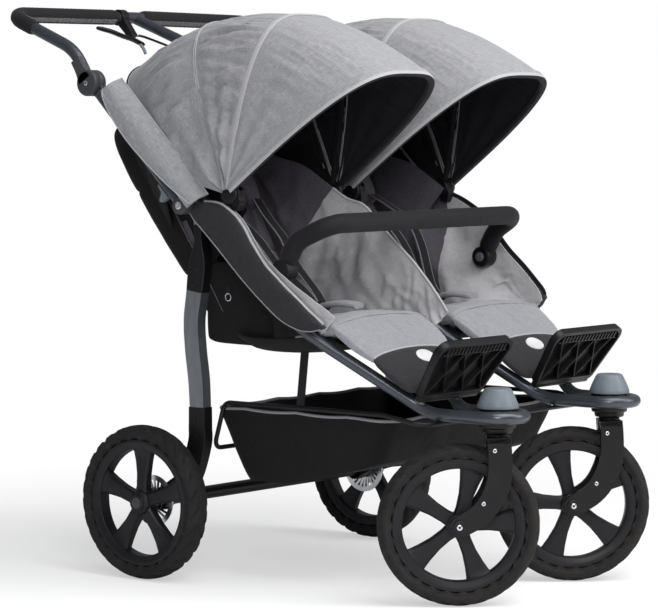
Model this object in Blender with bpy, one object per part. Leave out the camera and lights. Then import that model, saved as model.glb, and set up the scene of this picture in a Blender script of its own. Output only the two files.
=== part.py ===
"""Side-by-side twin stroller: folding tube frame, two reclining seats with canopies, castered front wheels.

Metres, +Z up, the stroller faces -Y, its right side is -X.
The chassis frame has Y = 0 on the front swivel axes, and an empty shifts it so that the
middle of the footprint is the origin.
"""
import math

import bmesh
import bpy
from mathutils import Vector

# Chassis
CHASSIS_SHIFT_Y = -0.50423
SEAT_X = 0.186
WHEELBASE = 0.715
WHEEL_R = 0.150
TRACK = 0.7192
SIDES = (("right", -1), ("left", 1))

# Fold joint and handle joint, in side view (Y, Z)
FOLD_Y, FOLD_Z = 0.607, 0.728
TILT_Y, TILT_Z = 0.840, 0.961

# Seat tubes
SEAT_TUBE_R = 0.0115
SEAT_TUBE_OUTER_X = 0.340
SEAT_TUBE_INNER_X = 0.030
SEAT_BEND_Y, SEAT_BEND_Z = 0.337, 0.501
LOOP_BEND_Y, LOOP_Z, LOOP_R = 0.118, 0.350, 0.049

# Push tubes and handlebar
PUSH_X = 0.366
PUSH_R = 0.012
GRIP_R = 0.0158
BAR_Y, BAR_Z = 1.060, 1.098
ARM_X = 0.372
ARM_KNEE = (0.882, 1.026)
JOINT_DISC_R = 0.0255

# Rear legs and axle
LEG_INNER_X, LEG_OUTER_X = 0.2985, 0.3225
AXLE_R, STUB_R, BORE_CLEARANCE = 0.013, 0.006, 0.0004

# Wheels
WHEEL_STEPS = 32
TYRE_HALF_WIDTH = 0.0252
TYRE_BEAD_R = 0.1245
RIM_EDGE_R, RIM_WINDOW_R = 0.1235, 0.104
SPOKES = 5
FRONT_SPIN = math.radians(-14.5)

# Casters
CASTER_TURN = math.radians(39.65)
TRAIL = 0.0717
FORK_INNER, FORK_OUTER = 0.0285, 0.0390
CROWN_TOP_Z = 0.313

# Canopies
CANOPY_X = 0.18725
CANOPY_Y, CANOPY_Z = 0.508, 0.750
CANOPY_HALF_WIDTH = 0.1635
CANOPY_CLOTH = 0.0024
CANOPY_STATIONS = ((37.0, 0.380), (80.0, 0.344), (112.0, 0.354), (142.0, 0.405))
CANOPY_BULGE = 0.4
FRONT_BOW_HALF_WIDTH, MIDDLE_BOW_HALF_WIDTH, BOW_R = 0.160, 0.150, 0.004
PANEL_EDGE_GAP = 0.0066
PANEL_START_R = 0.046
ARCH_POWER = 0.62

# Backrests
RECLINE_Y, RECLINE_Z = 0.556, 0.492
RECLINE_ANGLE = math.radians(51.6)

# Bumper bar
BUMPER_X = 0.3205
BUMPER_BAR_Y, BUMPER_BAR_Z = 0.300, 0.698
BUMPER_JOINT = (0.393, 0.610)
BUMPER_R = 0.0185
BUTTON_R = 0.0095

# Footrests
FOOT_Y, FOOT_Z = 0.115, 0.381
FOOT_ANGLE = math.radians(56.0)

GREY_CLOTH = ((0.36, 0.36, 0.38), 0.9, 0.0)
CHARCOAL_CLOTH = ((0.055, 0.055, 0.062), 0.9, 0.0)
BLACK_CLOTH = ((0.012, 0.012, 0.013), 0.95, 0.0)
TUBE_PAINT = ((0.055, 0.066, 0.082), 0.3, 0.6)
LEG_METAL = ((0.14, 0.16, 0.18), 0.4, 0.7)
BLACK_PLASTIC = ((0.014, 0.014, 0.015), 0.5, 0.0)
GREY_PLASTIC = ((0.22, 0.27, 0.31), 0.45, 0.0)
RUBBER = ((0.028, 0.025, 0.024), 0.85, 0.0)
FOAM = ((0.016, 0.016, 0.017), 0.9, 0.0)


def circle(radius, steps, phase=0.0):
    """Points (a, b) of a regular ring."""
    turns = [2 * math.pi * (k + phase) / steps for k in range(steps)]
    return [(radius * math.cos(t), radius * math.sin(t)) for t in turns]


def loft(rings, closed=False):
    """Skin a list of equal rings, capped at both ends or closed on itself."""
    bm = bmesh.new()
    rows = [[bm.verts.new(p) for p in ring] for ring in rings]
    pairs = list(zip(rows, rows[1:]))
    if closed:
        pairs.append((rows[-1], rows[0]))
    else:
        bm.faces.new(rows[0])
        bm.faces.new(rows[-1])
    for low, high in pairs:
        count = len(low)
        for k in range(count):
            n = (k + 1) % count
            bm.faces.new((low[k], low[n], high[n], high[k]))
    bmesh.ops.recalc_face_normals(bm, faces=bm.faces)
    return bm


def prism(outline, x0, x1):
    """Extrude a (Y, Z) outline along X."""
    return loft([[Vector((x, y, z)) for y, z in outline] for x in (x0, x1)])


def box(low, high):
    outline = ((low[1], low[2]), (high[1], low[2]), (high[1], high[2]), (low[1], high[2]))
    return prism(outline, low[0], high[0])


def spun_x(profile, steps, centre=(0.0, 0.0, 0.0), closed=False, phase=0.5):
    """Turn (radius, x) points about an axis along X."""
    cx, cy, cz = centre
    rings = []
    for radius, x in profile:
        rings.append([Vector((cx + x, cy + a, cz + b)) for a, b in circle(radius, steps, phase)])
    return loft(rings, closed)


def spun_z(profile, steps, centre=(0.0, 0.0)):
    """Turn (radius, z) points about an axis along Z."""
    rings = []
    for radius, z in profile:
        rings.append([Vector((centre[0] + a, centre[1] + b, z)) for a, b in circle(radius, steps)])
    return loft(rings)


def rounded_path(corners, radii, arc_steps=4):
    """A polyline with its inner corners replaced by arcs."""
    points = [Vector(corners[0])]
    for k in range(1, len(corners) - 1):
        here = Vector(corners[k])
        back = (Vector(corners[k - 1]) - here).normalized()
        ahead = (Vector(corners[k + 1]) - here).normalized()
        half = back.angle(ahead) / 2
        reach = radii[k - 1] / math.tan(half)
        centre = here + (back + ahead).normalized() * (radii[k - 1] / math.sin(half))
        start = here + back * reach - centre
        end = here + ahead * reach - centre
        for step in range(arc_steps + 1):
            points.append(centre + start.slerp(end, step / arc_steps) * radii[k - 1])
    points.append(Vector(corners[-1]))
    return points


def path_frames(path, closed=False):
    """Tangent and two cross directions at each point, carried along without twist."""
    count = len(path)
    frames = []
    side = None
    for k in range(count):
        before = path[k - 1] if k or closed else path[k]
        after = path[(k + 1) % count] if k < count - 1 or closed else path[k]
        tangent = (after - before).normalized()
        if side is None:
            guide = Vector((1, 0, 0)) if abs(tangent.x) < 0.8 else Vector((0, 0, 1))
            side = guide
        side = (side - tangent * side.dot(tangent)).normalized()
        frames.append((side.copy(), tangent.cross(side)))
    return frames


def path_rings(path, section, closed=False):
    """Rings of (a, b) points along a path; section is a list, or a function of the fraction."""
    rings = []
    last = len(path) - 1
    for k, (centre, (side, other)) in enumerate(zip(path, path_frames(path, closed))):
        points = section(k / last) if callable(section) else section
        rings.append([centre + side * a + other * b for a, b in points])
    return rings


def tube(path, radius, sides=8, closed=False):
    return loft(path_rings(path, circle(radius, sides), closed), closed)


def sleeve(path, outer, inner):
    """A hollow skin along a path, open at both ends; both sections have equal counts."""
    return loft(path_rings(path, outer) + path_rings(path, inner)[::-1], closed=True)


def cut_path(path, start, end):
    """The stretch of a polyline between two lengths along it."""
    points = []
    travelled = 0.0
    for here, there in zip(path, path[1:]):
        step = (there - here).length
        for mark in (start, end):
            if travelled <= mark < travelled + step:
                points.append(here.lerp(there, (mark - travelled) / step))
        travelled += step
        if start < travelled < end:
            points.append(there.copy())
    return points


def path_length(path):
    return sum((b - a).length for a, b in zip(path, path[1:]))


def boolean(body, tool, operation):
    """Join or cut two closed shapes and return the result."""
    meshes = []
    for bm in (body, tool):
        mesh = bpy.data.meshes.new("boolean")
        bm.to_mesh(mesh)
        bm.free()
        meshes.append(mesh)
    objects = [bpy.data.objects.new("boolean", mesh) for mesh in meshes]
    for item in objects:
        bpy.context.scene.collection.objects.link(item)
    modifier = objects[0].modifiers.new("boolean", "BOOLEAN")
    modifier.operation = operation
    modifier.object = objects[1]
    bpy.context.view_layer.update()
    evaluated = objects[0].evaluated_get(bpy.context.evaluated_depsgraph_get())
    result = bmesh.new()
    result.from_mesh(evaluated.to_mesh())
    evaluated.to_mesh_clear()
    for item in objects:
        bpy.data.objects.remove(item)
    for mesh in meshes:
        bpy.data.meshes.remove(mesh)
    bmesh.ops.dissolve_degenerate(result, dist=1e-6, edges=result.edges)
    return result


def join(*shapes):
    body = shapes[0]
    for shape in shapes[1:]:
        body = boolean(body, shape, "UNION")
    return body


def cut(body, *tools):
    for tool in tools:
        body = boolean(body, tool, "DIFFERENCE")
    return body


def material(name, look):
    colour, roughness, metallic = look
    made = bpy.data.materials.new(name)
    made.use_nodes = True
    shader = made.node_tree.nodes["Principled BSDF"]
    shader.inputs["Base Color"].default_value = (*colour, 1.0)
    shader.inputs["Roughness"].default_value = roughness
    shader.inputs["Metallic"].default_value = metallic
    return made


def empty(name, location, turn=0.0, parent=None):
    item = bpy.data.objects.new(name, None)
    item.location = location
    item.rotation_euler = (0.0, 0.0, turn)
    item.parent = parent
    bpy.context.scene.collection.objects.link(item)
    return item


def add(name, bm, look, parent, origin=(0.0, 0.0, 0.0), sharp=35.0):
    """Make the named object, with its origin at a point of its parent's frame."""
    bmesh.ops.translate(bm, verts=bm.verts, vec=-Vector(origin))
    mesh = bpy.data.meshes.new(name)
    bm.to_mesh(mesh)
    bm.free()
    mesh.shade_smooth()
    mesh.set_sharp_from_angle(angle=math.radians(sharp))
    mesh.materials.append(material(name, look))
    item = bpy.data.objects.new(name, mesh)
    item.location = origin
    item.parent = parent
    bpy.context.scene.collection.objects.link(item)
    return item


def direction(degrees):
    """Unit vector in side view: 0 points back, 90 up, 180 forward."""
    return Vector((0, math.cos(math.radians(degrees)), math.sin(math.radians(degrees))))


def seat_tube_path(s):
    """Outer leg, front loop around the swivel, inner leg."""
    cx = s * SEAT_X
    head = ((s * SEAT_TUBE_OUTER_X, FOLD_Y, FOLD_Z),
            (s * SEAT_TUBE_OUTER_X, SEAT_BEND_Y, SEAT_BEND_Z),
            (cx + s * LOOP_R, LOOP_BEND_Y, LOOP_Z),
            (cx + s * LOOP_R, 0.0, LOOP_Z))
    tail = ((cx - s * LOOP_R, 0.0, LOOP_Z),
            (cx - s * LOOP_R, LOOP_BEND_Y, LOOP_Z),
            (s * SEAT_TUBE_INNER_X, SEAT_BEND_Y, SEAT_BEND_Z),
            (s * SEAT_TUBE_INNER_X, FOLD_Y, FOLD_Z))
    bends = (0.25, 0.07)
    loop_steps = 8
    loop = []
    for k in range(1, loop_steps):
        turn = math.pi * k / loop_steps
        loop.append(Vector((cx + s * LOOP_R * math.cos(turn), -LOOP_R * math.sin(turn), LOOP_Z)))
    return rounded_path(head, bends) + loop + rounded_path(tail, bends[::-1])


def seat_tube(side, s, chassis):
    """Bent tube of one seat, with hinge eyes and the brackets that carry the canopy."""
    eye_r, eye_half = 0.0185, 0.0105
    plate, boss_r = (0.1406, 0.1452), 0.008
    body = tube(seat_tube_path(s), SEAT_TUBE_R)
    along = direction(180 + 40.05)
    foot = Vector((0, FOLD_Y, FOLD_Z)) + along * 0.042
    head = Vector((0, CANOPY_Y, CANOPY_Z))
    lean = (head - foot).normalized()
    across = Vector((0, -lean.z, lean.y)) * 0.009
    outline = [foot - lean * 0.004 + across, foot - lean * 0.004 - across]
    outline += [head + lean * 0.010 - across, head + lean * 0.010 + across]
    for leg in (s, -s):
        x = s * (SEAT_TUBE_OUTER_X if leg == s else SEAT_TUBE_INNER_X)
        centre = (x, FOLD_Y, FOLD_Z)
        eye = spun_x(((eye_r, -eye_half), (eye_r, eye_half)), 14, centre)
        edges = sorted(s * CANOPY_X + leg * p for p in plate)
        bracket = prism([(p.y, p.z) for p in outline], *edges)
        ends = sorted((x, sum(edges) / 2))
        boss = spun_x(((boss_r, ends[0]), (boss_r, ends[1])), 10, (0, foot.y, foot.z))
        body = join(body, eye, boss, bracket)
    return add(f"{side}_seat_tube", body, TUBE_PAINT, chassis)


def panel_stations(path):
    """Points along a leg of the seat tube where the padded cloth has its sections."""
    start, length, steps = 0.078, 0.274, 7
    reach = path_length(path)
    return [cut_path(path, start + length * k / steps, reach)[0] for k in range(steps + 1)]


def outer_side_panel(side, s, chassis):
    """Padded cloth round the outer leg of the seat tube, with a wing standing up outside the bumper bar."""
    stations = panel_stations(seat_tube_path(s))
    cover_r, wing_inner, wing_outer, wing_low = 0.0163, 0.0025, 0.0210, 0.0135
    tops = {"right": (0.040, 0.058, 0.048, 0.037, 0.035, 0.036, 0.040, 0.036),
            "left": (0.040, 0.088, 0.098, 0.097, 0.092, 0.086, 0.084, 0.081)}
    tip = {"right": ((0.024, 0.024, 0.046), (0.041, 0.039, 0.047)),
           "left": ((0.024, 0.034, 0.079), (0.040, 0.050, 0.077))}
    ahead = (stations[-1] - stations[-2]).normalized()
    marks = [(point, wing_low, top) for point, top in zip(stations, tops[side])]
    marks += [(stations[-1] + ahead * length, low, top) for length, low, top in tip[side]]
    rings = []
    for k, (point, low, top) in enumerate(marks):
        ahead = marks[min(k + 1, len(marks) - 1)][0] - marks[max(k - 1, 0)][0]
        up = Vector((0, ahead.z, -ahead.y)).normalized()
        edge = min(0.006, (top - low) / 3)
        section = ((wing_inner, low), (wing_outer - 0.002, low), (wing_outer, low + edge),
                   (wing_outer, top - edge), (wing_outer - 0.005, top), (wing_inner + 0.004, top),
                   (wing_inner, top - edge), (wing_inner, low + edge))
        rings.append([point + Vector((s * a, 0, 0)) + up * b for a, b in section])
    cover = sleeve(stations, circle(cover_r, 12), circle(SEAT_TUBE_R + 0.0013, 12))
    add(f"{side}_outer_side_panel", join(cover, loft(rings)), CHARCOAL_CLOTH, chassis)


def seat_wall(side, s):
    """Cloth wall between the seats, from the backrest forward: high for the right seat and low for the left.

    Its stations are lengths along the tube, low and top heights square to it, and distances from the middle.
    """
    along = direction(180 + 40.05)
    up = Vector((0, along.z, -along.y))
    wall_thickness = 0.0040
    stations = ((-0.070, 0.016, 0.056, 0.0600), (-0.010, -0.020, 0.086, 0.0600),
                (0.055, -0.046, 0.098, 0.0600), (0.112, -0.068, 0.106, 0.0570),
                (0.150, -0.080, 0.122, 0.0530), (0.195, -0.088, 0.119, 0.0490),
                (0.240, -0.070, 0.115, 0.0460), (0.285, -0.026, 0.1145, 0.0445),
                (0.320, 0.010, 0.1135, 0.0445), (0.345, 0.034, 0.110, 0.0445),
                (0.370, 0.050, 0.107, 0.0445), (0.405, 0.062, 0.100, 0.0445),
                (0.430, 0.072, 0.094, 0.0445))
    if side == "left":
        low_tops = (0.040, 0.046, 0.050, 0.052, 0.052, 0.050, 0.048, 0.044, 0.040)
        stations = [(length, low, top, x) for (length, low, _, x), top in zip(stations, low_tops)]
    rings = []
    for length, low, top, near_x in stations:
        foot = Vector((0, FOLD_Y, FOLD_Z)) + along * length
        far_x = near_x + wall_thickness
        corners = ((near_x, low), (far_x, low), (far_x, top), (near_x, top))
        rings.append([foot + Vector((s * x, 0, 0)) + up * height for x, height in corners])
    return loft(rings)


def inner_side_panel(side, s, chassis):
    """Padded cloth round the inner leg of the seat tube, with the wall that stands up from it."""
    stations = panel_stations(seat_tube_path(s)[::-1])

    def section(f):
        height = 0.018 + 0.018 * math.sin(math.pi * f) ** 0.5
        return [(0.0215 * a, height * b) for a, b in circle(1.0, 12)]

    cover = sleeve(stations, section, circle(SEAT_TUBE_R + 0.0013, 12))
    add(f"{side}_inner_side_panel", join(cover, seat_wall(side, s)), GREY_CLOTH, chassis)


def swivel_housing(side, s, chassis):
    """Black plate in the loop and the stepped bearing housing under it."""
    cx = s * SEAT_X
    profile = ((0.0085, 0.3445), (0.0085, 0.3190), (0.0275, 0.3190), (0.0290, 0.3275),
               (0.0340, 0.3290), (0.0350, 0.3380), (0.0365, 0.3390), (0.0365, 0.3625), (0.0340, 0.3640))
    body = spun_z(profile, 16, (cx, 0.0))
    web = box((cx - 0.0340, 0.0, 0.3420), (cx + 0.0340, 0.0780, 0.3580))
    web_bore = spun_z(((0.0200, 0.3300), (0.0200, 0.3700)), 16, (cx, 0.0))
    body = join(body, cut(web, web_bore))
    add(f"{side}_swivel_housing", body, BLACK_PLASTIC, chassis)
    knob = ((0.0385, 0.3650), (0.0380, 0.3720), (0.0255, 0.3985), (0.0225, 0.4015), (0.0100, 0.4025))
    add(f"{side}_swivel_knob", spun_z(knob, 18, (cx, 0.0)), GREY_PLASTIC, chassis, (cx, 0.0, 0.3650))


def smooth_line(points, steps):
    """Catmull-Rom curve through (a, b) points."""
    held = [points[0]] + list(points) + [points[-1]]
    line = []
    for p0, p1, p2, p3 in zip(held, held[1:], held[2:], held[3:]):
        for k in range(steps):
            t = k / steps
            line.append(tuple(0.5 * (2 * b + (c - a) * t + (2 * a - 5 * b + 4 * c - d) * t * t
                                     + (3 * b - a - 3 * c + d) * t ** 3)
                              for a, b, c, d in zip(p0, p1, p2, p3)))
    line.append(points[-1])
    return line


def stroke(points, half_widths, steps=4):
    """Outline of a band along a smooth (Y, Z) line."""
    line = smooth_line(points, steps)
    widths = smooth_line([(w, 0.0) for w in half_widths], steps)
    left, right = [], []
    for k, (y, z) in enumerate(line):
        before, after = line[max(k - 1, 0)], line[min(k + 1, len(line) - 1)]
        ahead = Vector((after[0] - before[0], after[1] - before[1])).normalized()
        width = widths[k][0]
        left.append((y - ahead.y * width, z + ahead.x * width))
        right.append((y + ahead.y * width, z - ahead.x * width))
    return left + right[::-1]


def fork(side, s, caster):
    """Two flat arms, crown, stem and the bolt through the wheel."""
    line = ((0.000, CROWN_TOP_Z), (-0.002, 0.284), (-0.002, 0.250), (0.003, 0.222), (0.019, 0.190),
            (0.040, 0.168), (TRAIL, WHEEL_R), (TRAIL + 0.014, WHEEL_R - 0.007))
    widths = (0.0220, 0.0220, 0.0220, 0.0222, 0.0212, 0.0205, 0.0192, 0.0120)
    outline = stroke(line, widths, 2)
    arms = [prism(outline, *sorted((x * FORK_INNER, x * FORK_OUTER))) for x in (-1, 1)]
    crown = box((-FORK_OUTER, -0.0210, 0.3030), (FORK_OUTER, 0.0210, CROWN_TOP_Z - 0.0002))
    skirt = box((-FORK_OUTER + 0.001, -0.0205, 0.2830), (FORK_OUTER - 0.001, -0.0090, 0.3080))
    stem = spun_z(((0.0080, 0.3060), (0.0080, 0.3430)), 12)
    washer = spun_z(((0.0200, 0.3070), (0.0200, 0.3175)), 16)
    bolt = spun_x(((STUB_R, -0.0340), (STUB_R, 0.0340)), 12, (0, TRAIL, WHEEL_R))
    heads = [spun_x(((0.0105, 0.0360 * x), (0.0105, 0.0426 * x)), 12, (0, TRAIL, WHEEL_R)) for x in (-1, 1)]
    body = join(arms[0], crown, arms[1], skirt, washer, stem, bolt, *heads)
    add(f"{side}_fork", body, BLACK_PLASTIC, caster, (0.0, 0.0, CROWN_TOP_Z))


def tyre_shape():
    """Tyre about the X axis; its crown is flat, so a facet lies on the ground."""
    crown = WHEEL_R / math.cos(math.pi / WHEEL_STEPS)
    half = ((TYRE_BEAD_R, 0.0170), (0.1330, TYRE_HALF_WIDTH), (0.1425, 0.0225), (crown, 0.0080))
    profile = [(r, x) for r, x in half] + [(r, -x) for r, x in half[::-1]]
    return spun_x(profile, WHEEL_STEPS, closed=True)


def rim_shape(hub, bore_end, disc, spin):
    """Rim ring with a five-armed spider, hub and, at the back, the brake disc; +X faces out."""
    ring = spun_x(((RIM_EDGE_R, -0.0165), (RIM_EDGE_R, 0.0165), (0.1150, 0.0185), (RIM_WINDOW_R, 0.0140),
                   (RIM_WINDOW_R, -0.0140), (0.1150, -0.0185)), WHEEL_STEPS, closed=True)
    spoke_half = (math.radians(26), math.radians(13.5))
    star = []
    for k in range(SPOKES):
        middle = 2 * math.pi * k / SPOKES + math.pi / 2 + spin
        marks = ((0.0300, -spoke_half[0]), (0.0700, -spoke_half[1]), (0.1090, -spoke_half[1]),
                 (0.1090, spoke_half[1]), (0.0700, spoke_half[1]), (0.0300, spoke_half[0]))
        star += [(r * math.cos(middle + t), r * math.sin(middle + t)) for r, t in marks]
    spider = prism(star, -0.0060, 0.0080)
    parts = [spider, spun_x(hub, 16)]
    if disc:
        parts.append(spun_x(((0.0500, -0.0285), (0.0500, -0.0255)), 20))
    body = join(ring, *parts)
    bore = spun_x(((STUB_R + BORE_CLEARANCE, -0.0500), (STUB_R + BORE_CLEARANCE, bore_end)), 12)
    return cut(body, bore)


def wheel(name, rim, tyre, parent, hub, turn):
    """One wheel: rim and tyre share their meshes with the opposite wheel."""
    for part, mesh in (("rim", rim), ("tyre", tyre)):
        item = bpy.data.objects.new(f"{name}_{part}", mesh)
        item.location = hub
        item.rotation_euler = (0.0, 0.0, turn)
        item.parent = parent
        bpy.context.scene.collection.objects.link(item)


def shared_mesh(name, bm, look):
    mesh = bpy.data.meshes.new(name)
    bm.to_mesh(mesh)
    bm.free()
    mesh.shade_smooth()
    mesh.set_sharp_from_angle(angle=math.radians(35))
    mesh.materials.append(material(name, look))
    return mesh


def wheels(chassis, casters):
    front_hub = ((0.0220, -0.0265), (0.0220, 0.0265))
    rear_hub = ((0.0200, -0.0285), (0.0240, -0.0100), (0.0240, 0.0150), (0.0170, 0.0200), (0.0165, 0.0244))
    front_rim = shared_mesh("front_rim", rim_shape(front_hub, 0.0500, False, FRONT_SPIN), BLACK_PLASTIC)
    rear_rim = shared_mesh("rear_rim", rim_shape(rear_hub, 0.0140, True, 0.0), BLACK_PLASTIC)
    tyre = shared_mesh("tyre", tyre_shape(), RUBBER)
    for side, s in SIDES:
        turn = 0.0 if s > 0 else math.pi
        wheel(f"{side}_rear", rear_rim, tyre, chassis, (s * TRACK / 2, WHEELBASE, WHEEL_R), turn)
        wheel(f"{side}_front", front_rim, tyre, casters[side], (0.0, TRAIL, WHEEL_R), turn)


def rear_frame(chassis):
    """Rear legs on the fold joint and the axle between the wheels."""
    line = ((FOLD_Y, FOLD_Z), (0.609, 0.690), (0.609, 0.655), (0.612, 0.612), (0.619, 0.560),
            (0.627, 0.505), (0.624, 0.450), (0.616, 0.390), (0.613, 0.335), (0.615, 0.265),
            (0.640, 0.200), (WHEELBASE, WHEEL_R))
    widths = (0.0150, 0.0095, 0.0095, 0.0200, 0.0190, 0.0180, 0.0180, 0.0180, 0.0190, 0.0210,
              0.0210, 0.0180)
    outline = stroke(line, widths, 2)
    for side, s in SIDES:
        x0, x1 = sorted((s * LEG_INNER_X, s * LEG_OUTER_X))
        leg = prism(outline, x0, x1)
        eye = spun_x(((0.0170, x0), (0.0170, x1)), 16, (0, FOLD_Y, FOLD_Z))
        boss = spun_x(((0.0210, x0), (0.0210, x1)), 18, (0, WHEELBASE, WHEEL_R))
        bore = spun_x(((STUB_R + BORE_CLEARANCE, x0 - 0.01), (STUB_R + BORE_CLEARANCE, x1 + 0.01)), 16,
                      (0, WHEELBASE, WHEEL_R))
        body = cut(join(leg, eye, boss), bore)
        add(f"{side}_rear_leg", body, LEG_METAL, chassis, (s * LEG_INNER_X, FOLD_Y, FOLD_Z))
    step, end = LEG_INNER_X - 0.0006, TRACK / 2 + 0.0120
    turned = ((STUB_R, -end), (STUB_R, -step), (AXLE_R, -step), (AXLE_R, step), (STUB_R, step), (STUB_R, end))
    shaft = spun_x(turned, 16, (0, WHEELBASE, WHEEL_R))
    add("rear_axle", shaft, BLACK_PLASTIC, chassis, (0, FOLD_Y, FOLD_Z))


def basket_frame(chassis):
    """Thin rod that carries the basket: front cross piece, side rails, dropped rear cross piece."""
    rod_r, rail_x, rail_z = 0.0045, 0.283, 0.347
    front_y, front_z, rear_y, drop_z = 0.100, LOOP_Z - SEAT_TUBE_R - 0.0052, 0.602, 0.256
    half = ((0.0, front_y, front_z), (rail_x, front_y, front_z), (rail_x, 0.190, rail_z),
            (rail_x, 0.575, rail_z), (rail_x, rear_y, drop_z), (0.0, rear_y, drop_z))
    right = rounded_path(half, (0.03, 0.04, 0.02, 0.02), 3)
    left = [Vector((-p.x, p.y, p.z)) for p in right[-2:0:-1]]
    add("basket_frame", tube(right + left, rod_r, 6, closed=True), TUBE_PAINT, chassis)


def rounded_rectangle(low, high, radius, z, steps=4):
    """Ring of points in plan; z is a function of y."""
    (x0, y0), (x1, y1) = low, high
    corners = ((x1, y1, 0), (x0, y1, 1), (x0, y0, 2), (x1, y0, 3))
    ring = []
    for x, y, quarter in corners:
        cx = x - math.copysign(radius, x - (x0 + x1) / 2)
        cy = y - math.copysign(radius, y - (y0 + y1) / 2)
        for k in range(steps + 1):
            turn = math.pi / 2 * (quarter + k / steps)
            px, py = cx + radius * math.cos(turn), cy + radius * math.sin(turn)
            ring.append(Vector((px, py, z(py))))
    return ring


def basket(chassis):
    """Open cloth tray under the seats, its floor a stiff flat board at the back."""
    wall = 0.004

    def tray(inset, lift):
        def floor(y):
            return 0.198 + 0.052 * max(0.0, (0.46 - y) / 0.24) ** 1.4 + lift
        rows = ((0.0, 0.216, 0.545, 0.262), (0.18, 0.208, 0.556, 0.269), (0.60, 0.190, 0.584, 0.2735),
                (1.0, 0.176, 0.610, 0.2750))
        rings = []
        for f, front, back, half in rows:
            ring = rounded_rectangle((-half + inset, front + inset), (half - inset, back - inset), 0.03,
                                     lambda y, f=f: floor(y) * (1 - f) + 0.336 * f)
            rings.append(ring)
        return rings

    add("basket", loft(tray(0.0, 0.0) + tray(wall, wall)[::-1]), BLACK_CLOTH, chassis)


def cushion_ring(half_width, thickness, crown, under=1.0, steps=18, swell=0.0):
    """Cushion section: crowned top, drawn-in sides, underside as deep and top as full as asked."""
    ring = []
    for k in range(steps):
        turn = 2 * math.pi * k / steps
        c, d = math.cos(turn), math.sin(turn)
        a = half_width * math.copysign(abs(c) ** 0.45, c)
        depth = thickness / 2 + swell if d > 0 else thickness / 2 * under
        rise = depth * math.copysign(abs(d) ** 0.55, d)
        lift = crown * (1 - (a / half_width) ** 2) if d > 0 else 0.0
        ring.append((a, rise + lift))
    return ring


def seat_pad(side, s, chassis):
    """Calf apron, knee roll and seat in one stitched pad; thin stations are the seams."""
    stations = ((0.128, 0.402, 0.096, 0.012), (0.136, 0.411, 0.104, 0.020), (0.160, 0.432, 0.114, 0.024),
                (0.184, 0.453, 0.123, 0.022), (0.191, 0.457, 0.125, 0.014), (0.198, 0.465, 0.128, 0.022),
                (0.230, 0.490, 0.140, 0.030), (0.258, 0.510, 0.147, 0.028), (0.267, 0.514, 0.148, 0.018),
                (0.276, 0.519, 0.147, 0.028), (0.300, 0.520, 0.137, 0.036), (0.322, 0.518, 0.132, 0.040),
                (0.350, 0.514, 0.129, 0.042), (0.388, 0.508, 0.124, 0.044), (0.420, 0.502, 0.098, 0.044),
                (0.450, 0.498, 0.097, 0.042), (0.482, 0.492, 0.094, 0.036), (0.497, 0.488, 0.088, 0.018))
    rings = []
    for y, top, half_width, thickness in stations:
        section = cushion_ring(half_width, thickness, 0.011)
        rings.append([Vector((s * SEAT_X + a, y, top - thickness / 2 + b)) for a, b in section])
    add(f"{side}_seat_pad", loft(rings), GREY_CLOTH, chassis)


def backrest(side, s, chassis):
    """Reclining back cushion on its cross hinge."""
    along = Vector((0, math.cos(RECLINE_ANGLE), math.sin(RECLINE_ANGLE)))
    front = Vector((0, -along.z, along.y))
    hinge = Vector((s * SEAT_X, RECLINE_Y, RECLINE_Z))
    stations = ((0.000, 0.092, 0.022, 0.000), (0.014, 0.104, 0.040, 0.004), (0.060, 0.109, 0.048, 0.014),
                (0.128, 0.111, 0.048, 0.030), (0.142, 0.111, 0.038, 0.030), (0.156, 0.111, 0.048, 0.036),
                (0.250, 0.111, 0.052, 0.052), (0.332, 0.111, 0.050, 0.060), (0.346, 0.110, 0.039, 0.056),
                (0.360, 0.110, 0.048, 0.058), (0.440, 0.104, 0.044, 0.048), (0.480, 0.093, 0.034, 0.030),
                (0.495, 0.078, 0.018, 0.016))
    rings = []
    for length, half_width, thickness, swell in stations:
        section = cushion_ring(half_width, thickness, 0.008, 1.6, swell=swell)
        rings.append([hinge + along * length + Vector((a, 0, 0)) + front * b for a, b in section])
    add(f"{side}_backrest", loft(rings), CHARCOAL_CLOTH, chassis, hinge)


def side_bag(side, s, chassis):
    """Soft pocket that hangs inside the rear leg."""
    outline = ((0.424, 0.478), (0.440, 0.462), (0.520, 0.462), (0.545, 0.480), (0.545, 0.600),
               (0.525, 0.624), (0.470, 0.590), (0.424, 0.546))
    my, mz = 0.485, 0.535
    rows = ((0.2855, 0.94), (0.2880, 1.0), (0.2945, 1.0), (0.2975, 0.90))
    rings = []
    for x, scale in rows:
        shrunk = [(my + (y - my) * scale, mz + (z - mz) * scale) for y, z in outline]
        rings.append([Vector((s * x, y, z)) for y, z in shrunk])
    add(f"{side}_side_bag", loft(rings), BLACK_CLOTH, chassis)


def arch(half_width, radius, turn):
    """Offset across and distance from the pivot, for a turn from 0 to pi over the canopy."""
    c, d = math.cos(turn), math.sin(turn)
    return -half_width * math.copysign(abs(c) ** ARCH_POWER, c), radius * max(d, 0.0) ** ARCH_POWER


def canopy_point(s, across, radius, angle, lift=0.0):
    """Point at an angle from straight ahead, lifted square to the bow's plane."""
    ahead, up = -math.cos(angle), math.sin(angle)
    return Vector((s * CANOPY_X + across,
                   CANOPY_Y + radius * ahead + lift * up,
                   CANOPY_Z + radius * up - lift * ahead))


def canopy_bow(s, station, half_width, inset):
    """Round bow over one canopy, from pivot to pivot."""
    degrees, radius = CANOPY_STATIONS[station]
    steps = 14
    path = []
    for k in range(steps + 1):
        turn = math.pi * k / steps
        across, reach = arch(half_width, radius - inset, turn)
        path.append(canopy_point(s, across, reach, math.radians(degrees)))
    return tube(path, BOW_R, 6)


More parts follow.
